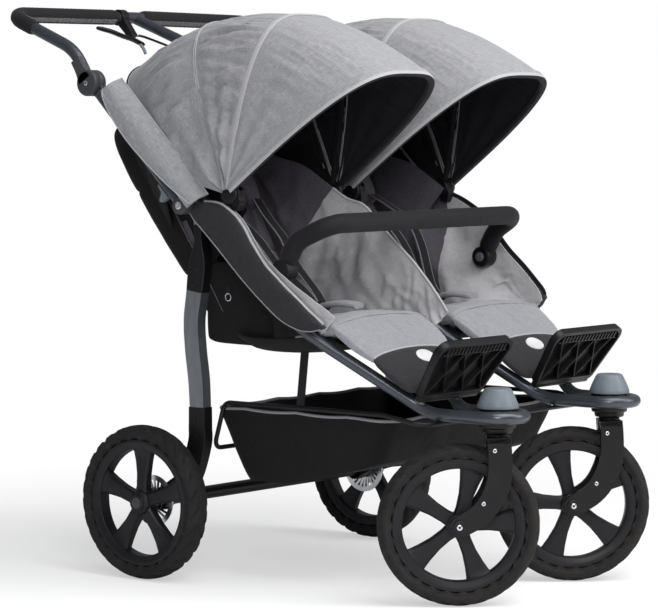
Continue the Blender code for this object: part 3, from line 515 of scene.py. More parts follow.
def metal(name, colour, roughness, metallic, line_scale, strength=0.05):
    """Painted or brushed metal: fine lines along the part and uneven gloss."""
    look, tree, shader = start_look(name, roughness, metallic)
    lines = speckle(tree, coordinates(tree, scale=line_scale))
    tint(tree, shader, lines, colour, 0.9, 1.1)
    uneven_gloss(tree, shader, speckle(tree, coordinates(tree), 14.0, 3.0), roughness - 0.05,
                 roughness + 0.07)
    bump(tree, shader, lines, 0.0002, strength)
    return look


def rubber(name, colour):
    """Tyre rubber, a little dusty and worn."""
    look, tree, shader = start_look(name, 0.82)
    fill(shader, Specular_IOR_Level=0.25)
    place = coordinates(tree)
    dust = average(tree, speckle(tree, place, 18.0, 5.0), speckle(tree, place, 160.0, 3.0))
    tint(tree, shader, dust, colour, 0.75, 1.45)
    bump(tree, shader, speckle(tree, place, 420.0), 0.0006, 0.25)
    return look


MELANGE = fabric("melange_cloth", (0.242, 0.243, 0.254), 0.28, crumple=0.5)
SEAT_CLOTH = fabric("seat_cloth", (0.212, 0.215, 0.228), 0.16, "Object", 900.0, 90.0, 0.45)
WALL_CLOTH = fabric("wall_cloth", (0.41, 0.404, 0.418), 0.12, crumple=0.7)
PIPING = fabric("piping_cloth", (0.33, 0.33, 0.34), 0.12, "Object", 1500.0, 300.0, 0.05)
CHARCOAL = fabric("charcoal_cloth", (0.021, 0.021, 0.024), 0.15, "Object", 900.0, 120.0, 0.5, 0.08)
BACK_CLOTH = fabric("back_cloth", (0.092, 0.083, 0.100), 0.15, "Object", 900.0, 120.0, 0.4, 0.10)
STRAP_EDGE = fabric("strap_edge", (0.20, 0.195, 0.21), 0.12, "Object", 1500.0, 300.0, 0.05)
LINING = fabric("lining_cloth", (0.012, 0.011, 0.014), 0.18, crumple=0.5, sheen=0.05)
BLACK_CLOTH = fabric("black_cloth", (0.006, 0.006, 0.0065), 0.2, "Object", 700.0, 120.0, 0.4, 0.04)
WEBBING = fabric("webbing", (0.012, 0.012, 0.014), 0.3, "UV", 200.0, 1100.0, 0.05, 0.05)
BUMPER_CLOTH = fabric("bumper_cloth", (0.0065, 0.0065, 0.0078), 0.15, "Object", 1400.0, 500.0, 0.2, 0.05,
                      0.7)
FOAM = fabric("grip_foam", (0.009, 0.009, 0.010), 0.25, "Object", 1600.0, 900.0, 0.1, 0.05, 0.8)
TUBE_PAINT = metal("tube_paint", (0.056, 0.063, 0.074), 0.30, 0.55, (260.0, 260.0, 260.0), 0.02)
ALUMINIUM = metal("leg_aluminium", (0.215, 0.230, 0.250), 0.40, 0.85, (1500.0, 60.0, 15.0))
STEEL = metal("bright_steel", (0.62, 0.63, 0.65), 0.28, 1.0, (400.0, 400.0, 400.0))
BLACK_PLASTIC = plastic("black_plastic", (0.0055, 0.0055, 0.0062), 0.40)
RIM_PLASTIC = plastic("rim_plastic", (0.0075, 0.0076, 0.0088), 0.42)
GREY_PLASTIC = plastic("grey_plastic", (0.125, 0.145, 0.165), 0.40)
DARK_PLASTIC = plastic("dark_plastic", (0.045, 0.046, 0.050), 0.45)
PATCH = plastic("pale_patch", (0.50, 0.50, 0.50), 0.5)
TYRE = rubber("tyre_rubber", (0.0120, 0.0110, 0.0104))


# Camera, light and floor

def place_object(name, data, place, turn):
    item = bpy.data.objects.new(name, data)
    item.location = place
    item.rotation_euler = turn
    bpy.context.scene.collection.objects.link(item)
    return item


def add_camera():
    data = bpy.data.cameras.new("camera")
    data.sensor_width = 36.0
    data.lens = 161.0
    data.clip_end = 60.0
    turn = (math.radians(90 - 3.8423), 0.0, math.radians(-51.4296))
    bpy.context.scene.camera = place_object("camera", data, (-4.5713, -3.60613, 0.9129), turn)


def add_lamp(name, place, size, power):
    """Soft rectangular lamp that faces the middle of the stroller."""
    data = bpy.data.lights.new(name, "AREA")
    data.shape = "RECTANGLE"
    data.size, data.size_y = size
    data.energy = power
    aim = Vector((0.0, 0.0, 0.55)) - Vector(place)
    place_object(name, data, place, aim.to_track_quat("-Z", "Y").to_euler())


def camera_only(tree, seen, unseen):
    """Mix two shader outputs: the first for what the camera sees, the second for all other rays."""
    rays = node(tree, "ShaderNodeLightPath")
    mix = node(tree, "ShaderNodeMixShader")
    link(tree, (rays.outputs["Is Camera Ray"], mix.inputs[0]), (unseen, mix.inputs[1]),
         (seen, mix.inputs[2]))
    return mix.outputs[0]


def add_floor():
    """White paper: shaded near the stroller so that it takes a shadow, plain white farther out."""
    half = 14.0
    mesh = bpy.data.meshes.new("floor")
    mesh.from_pydata([(-half, -half, 0), (half, -half, 0), (half, half, 0), (-half, half, 0)], [],
                     [(0, 1, 2, 3)])
    look, tree, shader = start_look("floor_paper", 0.9)
    fill(shader, Base_Color=(0.96, 0.96, 0.96, 1.0), Specular_IOR_Level=0.1)
    glow = node(tree, "ShaderNodeEmission", Color=(1.0, 1.0, 1.0, 1.0), Strength=1.0)
    reach = node(tree, "ShaderNodeVectorMath", {"operation": "LENGTH"})
    fade = node(tree, "ShaderNodeMapRange", {"interpolation_type": "SMOOTHSTEP"}, From_Min=0.75,
                From_Max=1.9, To_Min=0.50, To_Max=1.0)
    lifted = node(tree, "ShaderNodeMixShader")
    link(tree, (coordinates(tree), reach.inputs[0]), (reach.outputs["Value"], fade.inputs["Value"]),
         (fade.outputs["Result"], lifted.inputs[0]), (shader.outputs[0], lifted.inputs[1]),
         (glow.outputs[0], lifted.inputs[2]))
    surface = camera_only(tree, lifted.outputs[0], shader.outputs[0])
    link(tree, (surface, tree.nodes["Material Output"].inputs["Surface"]))
    mesh.materials.append(look)
    place_object("floor", mesh, (0, 0, 0), (0, 0, 0))


def add_world():
    world = bpy.data.worlds.new("studio")
    world.use_nodes = True
    tree = world.node_tree
    soft = tree.nodes["Background"]
    fill(soft, Color=(0.92, 0.94, 1.0, 1.0), Strength=0.30)
    white = node(tree, "ShaderNodeBackground", Color=(1.0, 1.0, 1.0, 1.0), Strength=1.0)
    surface = camera_only(tree, white.outputs[0], soft.outputs[0])
    link(tree, (surface, tree.nodes["World Output"].inputs["Surface"]))
    bpy.context.scene.world = world


def add_stage():
    add_camera()
    add_world()
    add_floor()
    add_lamp("overhead", (-0.2, -1.7, 3.3), (2.8, 2.8), 124.0)
    add_lamp("front_right", (1.6, -3.6, 2.2), (1.8, 2.4), 72.0)
    add_lamp("front_left", (-3.0, -2.5, 2.0), (1.1, 1.5), 56.0)
    bpy.context.scene.view_settings.view_transform = "Standard"


# Frame tubes and hinges

TUBE_ALONG = direction(180 + TUBE_SLOPE)
TUBE_UP = Vector((0, TUBE_ALONG.z, -TUBE_ALONG.y))


def seat_tube_path(s):
    """Outer leg, front loop around the swivel, inner leg."""
    cx, loop_r, loop_z = s * SEAT_X, 0.049, 0.350
    legs = []
    for way, x in ((s, s * OUTER_X), (-s, s * INNER_X)):
        foot = cx + way * loop_r
        legs.append(((x, FOLD.y, FOLD.z), (x, 0.337, 0.501), (foot, 0.118, loop_z), (foot, 0.0, loop_z)))
    turns = [math.pi * f for f in shares(24)[1:-1]]
    loop = [Vector((cx + s * loop_r * math.cos(t), -loop_r * math.sin(t), loop_z)) for t in turns]
    return rounded_path(legs[0], (0.25, 0.07)) + loop + rounded_path(legs[1][::-1], (0.07, 0.25))


def add_seat_tube(side, s):
    piece(f"{side}_seat_tube_pipe", tube(seat_tube_path(s), TUBE_R, 24), TUBE_PAINT, "chassis",
          (f"{side}_seat_tube",))
    foot = FOLD + TUBE_ALONG * 0.042
    lean = (CANOPY_PIVOT - foot).normalized()
    line = side_view((foot - lean * 0.006, foot.lerp(CANOPY_PIVOT, 0.5), CANOPY_PIVOT + lean * 0.008))
    blade = stroke(line, (0.0085, 0.0075, 0.0095), 6)
    eyes, blades, screws = [], [], []
    for leg, x in ((s, s * OUTER_X), (-s, s * INNER_X)):
        eyes.append(drum(x - 0.0105, x + 0.0105, 0.0185, FOLD.yz))
        low, high = sorted(s * CANOPY_X + leg * p for p in (0.1406, 0.1452))
        blades += [prism(blade, low, high), drum(x, (low + high) / 2, 0.008, foot.yz, 0.001, 20),
                   drum(low - 0.0012, high + 0.0012, 0.0125, CANOPY_PIVOT.yz, 0.001)]
        face, out = (high, 0.003) if leg == s else (low, -0.003)
        screws.append(screw(face, face + out, 0.005, foot.yz))
    piece(f"{side}_fold_eyes", merge(*eyes, *blades), BLACK_PLASTIC, "chassis",
          bevel=0.0007)
    piece(f"{side}_bracket_screws", merge(*screws), STEEL, "chassis")


def joint_lug(x0, x1, angle, reach):
    """Tapered arm from a handle joint towards its tube."""
    ray = direction(angle)
    half = 0.0115
    line = side_view(TILT + ray * a for a in (0.006, reach * 0.55, reach))
    return prism(stroke(line, (half * 1.5, half * 1.08, half), 6), x0, x1)


def add_push_frame():
    rise = TILT - FOLD
    angle = math.degrees(math.atan2(rise.z, rise.y))
    runs = (("right_push_tube", -PUSH_X, (-0.3696, -0.3540)),
            ("centre_push_tube", 0.0, (-0.0140, -0.0003)),
            ("left_push_tube", PUSH_X, (0.3540, 0.3696)))
    for name, x, (x0, x1) in runs:
        start = sideways(x) + FOLD
        end = start + rise * (1 - HINGE_GAP / rise.length)
        piece(f"{name}_pipe", tube([start, start.lerp(end, 0.5), end], PUSH_R, 24), TUBE_PAINT,
              "push_frame", (name,))
        hub = merge(drum(x - PUSH_R, x + PUSH_R, 0.0175, FOLD.yz),
                    drum(x0, x1, HINGE_R, TILT.yz, 0.002, 48), joint_lug(x0, x1, angle + 180, 0.050))
        piece(f"{name}_joints", hub, DARK_PLASTIC, "push_frame", bevel=0.0008)
    face = PUSH_X + PUSH_R
    bolts = [screw(s * face, s * (face + 0.003), 0.0075, FOLD.yz) for s in (-1, 1)]
    piece("fold_bolts", merge(*bolts), STEEL, "push_frame")


def add_fold_release(side, s):
    rise = (TILT - FOLD).normalized()
    under = Vector((0, rise.z, -rise.y))
    marks = curve(((0.034, 0.0135), (0.066, 0.0130), (0.0655, 0.0172), (0.053, 0.0196), (0.0455, 0.0325),
                   (0.0385, 0.0322), (0.0345, 0.0200), (0.034, 0.0135)), 5)[:-1]
    outline = side_view(FOLD + rise * a + under * b for a, b in marks)
    x0, x1 = sorted((s * (PUSH_X - 0.006), s * (PUSH_X + 0.006)))
    piece(f"{side}_release_catch", prism(outline, x0, x1), GREY_PLASTIC, f"{side}_release",
          (f"{side}_fold_release",), bevel=0.0012)


def add_handle():
    start = TILT + direction(HANDLE_LEAN) * HINGE_GAP
    half = ((-0.372, start.y, start.z), (-0.372, 0.882, 1.026), (-0.372, 1.060, 1.098),
            (0.0, 1.060, 1.100))
    path = mirrored(rounded_path(half, (0.10, 0.045)))
    total = lengths(path)[-1]
    stay = rounded_path(((0.0, start.y, start.z), (0.0, 0.888, 1.034), (0.0, 1.060, 1.098)), (0.10,))
    piece("handle_pipe", merge(tube(path, PUSH_R, 24), tube(stay, 0.011, 24)), TUBE_PAINT, "handle",
          ("handlebar",))
    joints = []
    for x0, x1 in ((-0.3860, -0.3702), (0.0003, 0.0140), (0.3702, 0.3860)):
        joints += [drum(x0, x1, HINGE_R, TILT.yz, 0.0035, 48), joint_lug(x0, x1, HANDLE_LEAN, 0.055)]
    bolts = [screw(s * 0.3855, s * 0.3872, 0.0048, TILT.yz) for s in (-1, 1)]
    piece("handle_joints", merge(*joints), DARK_PLASTIC, "handle", bevel=0.0008)
    piece("handle_screws", merge(*bolts), STEEL, "handle")
    for side, low, high in (("right", 0.163, total / 2 - 0.062),
                            ("left", total / 2 + 0.018, total - 0.163)):
        add_grip(side, path, low, high)


def add_grip(side, path, low, high):
    """Foam sleeve on a stretch of the handlebar, with a zigzag seam underneath."""
    steps, stitches = 60, 200
    radii = [0.0158 - 0.0022 * max(0.0, 1 - min(k, steps - k) / 1.2) - 0.00025 * (k % 2)
             for k in range(steps + 1)]
    foam = skin(swept(stretch(path, low, high, steps), [ring_points(radius, 24) for radius in radii]))
    piece(f"{side}_grip_foam", foam, FOAM, "handle", (f"{side}_grip",))
    line = stretch(path, low + 0.012, high - 0.012, stitches)
    rail = []
    for k, centre in enumerate(line):
        outward = direction(215 + (16 if k % 2 else -16))
        ahead = heading(line, k)
        rail.append(centre + (outward - ahead * outward.dot(ahead)).normalized() * 0.0159)
    piece(f"{side}_grip_stitching", tube(rail, 0.0008, 6), PIPING, "handle")


def add_hand_brake():
    bar = Vector((0.0, 1.060, 1.0995))
    ring = ((0.0130, -0.0560), (0.0160, -0.0560), (0.0168, -0.0552), (0.0168, -0.0368), (0.0160, -0.0360),
            (0.0130, -0.0360))
    clamp = spun(ring, 36, bar, closed=True)
    ray = (Vector((0.0, 1.0220, 1.0560)) - bar).normalized()
    line = side_view(bar + ray * a for a in (0.0142, 0.030, 0.0545))
    arm = prism(stroke(line, (0.0105, 0.0085, 0.0070), 5), -0.0540, -0.0380)
    piece("brake_clamp_body", merge(clamp, arm), BLACK_PLASTIC, "handle",
          ("brake_clamp",), bevel=0.0012)
    piece("brake_clamp_screw", screw(-0.0380, -0.0365, 0.004, line[1]), STEEL, "handle")
    route = smooth(((-0.0280, 1.0130, 1.0430), (-0.0440, 1.0143, 1.0490), (-0.0600, 1.0150, 1.0540),
                    (-0.0900, 1.0140, 1.0600), (-0.1200, 1.0190, 1.0690), (-0.1500, 1.0290, 1.0760)))
    sections = []
    for f in shares(len(route) - 1):
        size = 0.0041 * (1 - 0.35 * max(0.0, (f - 0.9) / 0.1) ** 2 - 0.3 * max(0.0, (0.06 - f) / 0.06))
        sections.append([(1.15 * a, 1.9 * b) for a, b in ring_points(size, 16)])
    piece("brake_lever_blade", skin(swept(route, sections)), BLACK_PLASTIC, "brake_lever",
          ("brake_lever",))
    lock = smooth(((-0.0395, 1.0185, 1.0500), (-0.0400, 1.0105, 1.0440), (-0.0390, 1.0020, 1.0340),
                   (-0.0370, 0.9985, 1.0235)), 6)
    tongue = swept(lock, [ring_points(0.0046 - 0.001 * f, 14, 0.75) for f in shares(len(lock) - 1)])
    piece("brake_lock", skin(tongue), GREY_PLASTIC, "brake_lever")
    cable = smooth(((-0.0360, 1.0280, 1.0630), (-0.0270, 1.0180, 1.0610), (-0.0180, 0.9990, 1.0540),
                    (-0.0090, 0.9730, 1.0440), (-0.0030, 0.9460, 1.0340), (0.0, 0.9200, 1.0260),
                    (0.0, 0.9000, 1.0180)), 6)
    piece("brake_cable_sheath", tube(cable, 0.0025, 12), BLACK_PLASTIC, "handle",
          ("brake_cable",))
    ends = merge(tube([cable[0], cable[3]], 0.0034, 14), tube([cable[-4], cable[-1]], 0.0034, 14))
    piece("brake_cable_ferrules", ends, STEEL, "handle")


# Rear legs, axle, basket frame

def add_rear_frame():
    upper = ((FOLD.y, FOLD.z), (0.609, 0.690), (0.609, 0.655), (0.612, 0.612), (0.619, 0.560),
             (0.627, 0.505), (0.624, 0.450), (0.616, 0.390), (0.613, 0.335), (0.613, 0.322))
    upper_half = (0.0150, 0.0095, 0.0095, 0.0200, 0.0190, 0.0180, 0.0180, 0.0180, 0.0172, 0.0168)
    lower = ((0.613, 0.338), (0.613, 0.300), (0.615, 0.265), (0.640, 0.200), (0.680, 0.170),
             (WHEELBASE, WHEEL_R), (WHEELBASE + 0.014, WHEEL_R - 0.010))
    lower_half = (0.0198, 0.0202, 0.0210, 0.0210, 0.0195, 0.0190, 0.0120)
    cover = 0.0006
    sleeve_line = stroke(upper[1:5], [half + cover for half in upper_half[1:5]])
    for side, s in SIDES:
        x0, x1 = sorted((s * 0.2990, s * 0.3220))
        leg = merge(prism(stroke(upper, upper_half), x0, x1), drum(x0, x1, 0.0170, FOLD.yz))
        piece(f"{side}_leg_profile", leg, ALUMINIUM, "rear_legs", (f"{side}_rear_leg",),
              bevel=0.0026)
        piece(f"{side}_leg_sleeve", prism(sleeve_line, x0 - cover, x1 + cover), BLACK_PLASTIC, "rear_legs",
              bevel=0.0026)
        low, high = sorted((s * 0.2985, s * 0.3225))
        boot = merge(prism(stroke(lower, lower_half), low, high),
                     drum(low, high, 0.0210, (WHEELBASE, WHEEL_R)))
        piece(f"{side}_leg_bracket", boot, BLACK_PLASTIC, "rear_legs", bevel=0.002)
        heads = [screw(s * 0.3210, s * 0.3232, 0.0044, place)
                 for place in ((0.613, 0.606), (0.620, 0.575), (0.613, 0.312), (0.615, 0.282))]
        piece(f"{side}_leg_screws", merge(*heads), BLACK_PLASTIC, "rear_legs")
    step, end, stub_r, axle_r = 0.2979, TRACK / 2 + 0.012, 0.006, 0.013
    half = ((0.002, end), (stub_r, end), (stub_r, step), (axle_r - 0.001, step), (axle_r, step - 0.001))
    turned = [(r, -x) for r, x in half] + list(half[::-1])
    piece("rear_axle_bar", spun(turned, 32, (0, WHEELBASE, WHEEL_R)), BLACK_PLASTIC, "rear_legs",
          ("rear_axle",))


def add_basket_frame():
    rail_x, rail_z, front_z, low_z = 0.283, 0.347, 0.3333, 0.256
    half = ((0.0, 0.100, front_z), (rail_x, 0.100, front_z), (rail_x, 0.190, rail_z),
            (rail_x, 0.575, rail_z), (rail_x, 0.602, low_z), (0.0, 0.602, low_z))
    loop = mirrored(rounded_path(half, (0.03, 0.04, 0.02, 0.02), 8))[:-1]
    piece("basket_rod", tube(loop, 0.0045, 14, closed=True), BLACK_PLASTIC, "chassis",
          ("basket_frame",))


# Casters and wheels

def caster_place(s):
    return Matrix.Translation((s * SEAT_X, 0.0, 0.0)) @ Matrix.Rotation(CASTER_TURN, 4, "Z")


def add_swivel(side, s):
    cx = s * SEAT_X
    profile = ((0.0085, 0.3445), (0.0085, 0.3190), (0.0265, 0.3190), (0.0278, 0.3205), (0.0290, 0.3275),
               (0.0330, 0.3288), (0.0342, 0.3300), (0.0350, 0.3380), (0.0362, 0.3392), (0.0365, 0.3415),
               (0.0365, 0.3600), (0.0355, 0.3625), (0.0340, 0.3640), (0.0085, 0.3640))
    body = spun(profile, 56, (cx, 0.0, 0.0), "Z", closed=True)
    web = prism(stroke(((0.020, 0.3500), (0.078, 0.3500)), (0.0080, 0.0080), 2), cx - 0.0340, cx + 0.0340)
    piece(f"{side}_swivel_body", merge(body, web), BLACK_PLASTIC, "chassis",
          (f"{side}_swivel_housing",), bevel=0.0008)
    knob = ((0.0385, 0.3650), (0.0386, 0.3680), (0.0378, 0.3722), (0.0330, 0.3835), (0.0262, 0.3975),
            (0.0248, 0.3998), (0.0222, 0.4015), (0.0160, 0.4021), (0.0100, 0.4025), (0.0010, 0.4025))
    ribs = []
    for radius, height in knob:
        dip = 0.0004 if 0.371 < height < 0.399 else 0.0
        radii = [radius - (dip if k % 18 < 2 else 0.0) for k in range(72)]
        ribs.append([Vector((cx + r * a, r * b, height))
                     for r, (a, b) in zip(radii, ring_points(1.0, 72))])
    piece(f"{side}_knob_cap", skin(ribs), GREY_PLASTIC, f"{side}_knob",
          (f"{side}_swivel_knob",))


def add_fork(side, s):
    place = caster_place(s)
    body_name = f"{side}_caster"
    axle = (TRAIL, WHEEL_R)
    line = ((0.000, 0.3128), (-0.002, 0.284), (-0.002, 0.250), (0.003, 0.222), (0.019, 0.190),
            (0.040, 0.168), axle, (TRAIL + 0.014, WHEEL_R - 0.007))
    outline = stroke(line, (0.0215, 0.0218, 0.0220, 0.0222, 0.0212, 0.0205, 0.0192, 0.0120))
    arms = [prism(outline, *sorted((x * 0.0285, x * 0.0390))) for x in (-1, 1)]
    crown = prism(((-0.021, 0.3030), (0.021, 0.3030), (0.021, 0.3126), (-0.021, 0.3126)), -0.039, 0.039)
    skirt = prism(((-0.0205, 0.2830), (-0.0090, 0.2830), (-0.0090, 0.3080), (-0.0205, 0.3080)),
                  -0.038, 0.038)
    washer = spun(((0.001, 0.3120), (0.0195, 0.3120), (0.0200, 0.3126), (0.0200, 0.3170), (0.0195, 0.3175),
                   (0.001, 0.3175)), 40, axis="Z")
    hub = [drum(x * 0.036, x * 0.0426, 0.0125, axle) for x in (-1, 1)]
    body = moved(merge(*arms, crown, skirt, washer, *hub), place)
    piece(f"{side}_fork_body", body, BLACK_PLASTIC, body_name, (f"{side}_fork",),
          bevel=0.0018)
    sleeve = spun(((0.0190, 0.2895), (0.0224, 0.2895), (0.0228, 0.2900), (0.0228, 0.3118),
                   (0.0224, 0.3124), (0.0190, 0.3124)), 48, axis="Z", closed=True)
    heads = []
    for x in (-1, 1):
        heads.append(screw(x * 0.0424, x * 0.0438, 0.0052, axle))
        heads += [screw(x * 0.0388, x * 0.0402, 0.0038, spot) for spot in ((0.028, 0.193), (0.008, 0.290))]
    piece(f"{side}_swivel_sleeve", moved(sleeve, place), STEEL, body_name)
    piece(f"{side}_fork_screws", moved(merge(*heads), place), STEEL, body_name)


def tyre_shape():
    """Tyre about X: round casing, a rib at the rim, shoulder blocks and slanted grooves over the crown."""
    half = ((0.1245, 0.0150), (0.1250, 0.0185), (0.1268, 0.0212), (0.1276, 0.0214), (0.1284, 0.0210),
            (0.1310, 0.0236), (0.1335, 0.0248), (0.1365, 0.0250), (0.1392, 0.0245), (0.1415, 0.0232),
            (0.1436, 0.0212), (0.1455, 0.0186), (0.1470, 0.0156), (0.1483, 0.0122), (0.1491, 0.0092),
            (0.1497, 0.0062), (0.1500, 0.0030), (0.1500, 0.0008))
    steps, period, width, depth = 216, 8, 3, 0.0034
    rings = []
    for radius, x in half + tuple((r, -x) for r, x in half[::-1]):
        slant = round(abs(x) * 260) + (period // 2 if x < 0 else 0)
        cut = depth * between(abs(x), (0.0025, 0.0075, 0.0215, 0.0240), (0.0, 1.0, 1.0, 0.0))
        radii = [radius - (cut if (k + slant) % period < width else 0.0) for k in range(steps)]
        rings.append([Vector((x, r * a, r * b)) for r, (a, b) in zip(radii, ring_points(1.0, steps))])
    return skin(rings, along=True)


RIM_PROFILE = ((0.1238, -0.0165), (0.1238, 0.0165), (0.1222, 0.0182), (0.1180, 0.0186), (0.1140, 0.0180),
               (0.1085, 0.0150), (0.1045, 0.0130), (0.1040, 0.0110), (0.1040, -0.0110), (0.1045, -0.0130),
               (0.1140, -0.0180), (0.1222, -0.0182))
# Distance from the axle, half width, distance of the face from the wheel's middle
SPOKE_ROWS = ((0.016, 0.0140, 0.0125), (0.030, 0.0125, 0.0120), (0.055, 0.0135, 0.0100),
              (0.080, 0.0178, 0.0085), (0.098, 0.0222, 0.0090), (0.1065, 0.0262, 0.0120),
              (0.112, 0.0300, 0.0150))
FRONT_HUB = ((0.0070, -0.0265), (0.0205, -0.0265), (0.0220, -0.0250), (0.0225, 0.0), (0.0220, 0.0250),
             (0.0205, 0.0265), (0.0070, 0.0265))
REAR_HUB = ((0.0070, -0.0240), (0.0205, -0.0240), (0.0240, -0.0100), (0.0240, 0.0130), (0.0205, 0.0185),
            (0.0172, 0.0200), (0.0168, 0.0232), (0.0150, 0.0246), (0.0120, 0.0246), (0.0115, 0.0238),
            (0.0020, 0.0238))


def rim_shape(hub, spin):
    """Rim ring, five broad bevelled spokes and hub; +X faces out."""
    parts = [spun(RIM_PROFILE, 96, closed=True)]
    for k in range(5):
        middle = 2 * math.pi * k / 5 + math.pi / 2 + spin
        ray = Vector((0, math.cos(middle), math.sin(middle)))
        side = Vector((0, -ray.z, ray.y))
        rings = []
        for r, half, face in SPOKE_ROWS:
            section = ((-half, -0.0070), (-half, face - 0.0040), (-half * 0.72, face),
                       (half * 0.72, face), (half, face - 0.0040), (half, -0.0070),
                       (half * 0.6, -0.0095), (-half * 0.6, -0.0095))
            rings.append([ray * r + side * a + sideways(b) for a, b in section])
        parts.append(skin(rings))
    return merge(*parts, spun(hub, 48))


def brake_disc_shape():
    """Vented steel disc: two rings joined by slanted bridges, on a small carrier."""
    parts = []
    for inner, outer in ((0.040, 0.0500), (0.012, 0.0225)):
        profile = ((inner, -0.0280), (outer, -0.0280), (outer, -0.0260), (inner, -0.0260))
        parts.append(spun(profile, 64, closed=True))
    bridges = 24
    for k in range(bridges):
        turn = 2 * math.pi * k / bridges
        lean = turn + 0.22
        low = Vector((0, math.cos(turn), math.sin(turn))) * 0.0215
        high = Vector((0, math.cos(lean), math.sin(lean))) * 0.0410
        side = (high - low).cross(Vector((1, 0, 0))).normalized() * 0.0022
        corners = ((-1, -0.0278), (1, -0.0278), (1, -0.0262), (-1, -0.0262))
        parts.append(skin([[p + side * way + sideways(x) for way, x in corners] for p in (low, high)]))
    return merge(*parts)


def add_wheels(side, s):
    facing = Matrix.Rotation(0.0 if s > 0 else math.pi, 4, "Z")
    rear = Matrix.Translation((s * TRACK / 2, WHEELBASE, WHEEL_R)) @ facing
    front = caster_place(s) @ Matrix.Translation((0.0, TRAIL, WHEEL_R)) @ facing
    for end, place, hub, spin in (("rear", rear, REAR_HUB, 0.0), ("front", front, FRONT_HUB, FRONT_SPIN)):
        body = f"{side}_{end}_wheel"
        piece(f"{side}_{end}_tyre_tread", moved(tyre_shape(), place), TYRE, body,
              (f"{side}_{end}_tyre",), sharp=30.0)
        piece(f"{side}_{end}_rim_spider", moved(rim_shape(hub, spin), place), RIM_PLASTIC, body,
              (f"{side}_{end}_rim",), bevel=0.0009)
    cap = ((0.0005, 0.0246), (0.0105, 0.0246), (0.0110, 0.0242), (0.0110, 0.0230), (0.0005, 0.0230))
    piece(f"{side}_brake_disc", moved(brake_disc_shape(), rear), STEEL, f"{side}_rear_wheel")
    piece(f"{side}_hub_cap", moved(spun(cap, 40), rear), DARK_PLASTIC, f"{side}_rear_wheel")


# Bumper bar and footrests

def add_bumper():
    y, z = 0.393, 0.610
    half = ((0.3205, y, z + 0.006), (0.3205, 0.366, 0.664), (0.2980, 0.300, 0.698), (0.0, 0.300, 0.698))
    path = mirrored(rounded_path(half, (0.05, 0.045), 14))
    steps, margin, radius = 150, 0.010, 0.0185
    run = stretch(path, margin, lengths(path)[-1] - margin, steps)
    sections = []
    for k, centre in enumerate(run):
        drawn_in = 0.0030 * max(0.0, 1 - min(k, steps - k) / 2.0)
        sections.append(ring_points(radius - drawn_in + 0.0004 * noise.noise(centre * 26.0), 28))
    cover = piece("bumper_cover", skin(swept(run, sections)), BUMPER_CLOTH, "bumper",
                  ("bumper_bar",))
    seam = [centre + Vector((0, 0.55, -0.835)) * 0.0186 for centre in run[4:-4]]
    piece("bumper_seam", tube(seam, 0.0008, 6), CHARCOAL, "bumper")
    joint = ((0.0106, 0.3042), (0.0180, 0.3042), (0.0206, 0.3060), (0.0210, 0.3090), (0.0210, 0.3330),
             (0.0195, 0.3365), (0.0010, 0.3365), (0.0010, 0.3170), (0.0106, 0.3170))
    button = ((0.0005, 0.3005), (0.0070, 0.3005), (0.0090, 0.3012), (0.0095, 0.3028), (0.0095, 0.3120),
              (0.0005, 0.3120))
    for side, s in SIDES:
        body, push = ([(r, s * x) for r, x in profile] for profile in (joint, button))
        piece(f"{side}_bumper_joint", spun(body, 44, (0, y, z), closed=True), BLACK_PLASTIC, "bumper")
        piece(f"{side}_bumper_push_button", spun(push, 36, (0, y, z)), GREY_PLASTIC, f"{side}_button",
              (f"{side}_bumper_button",))


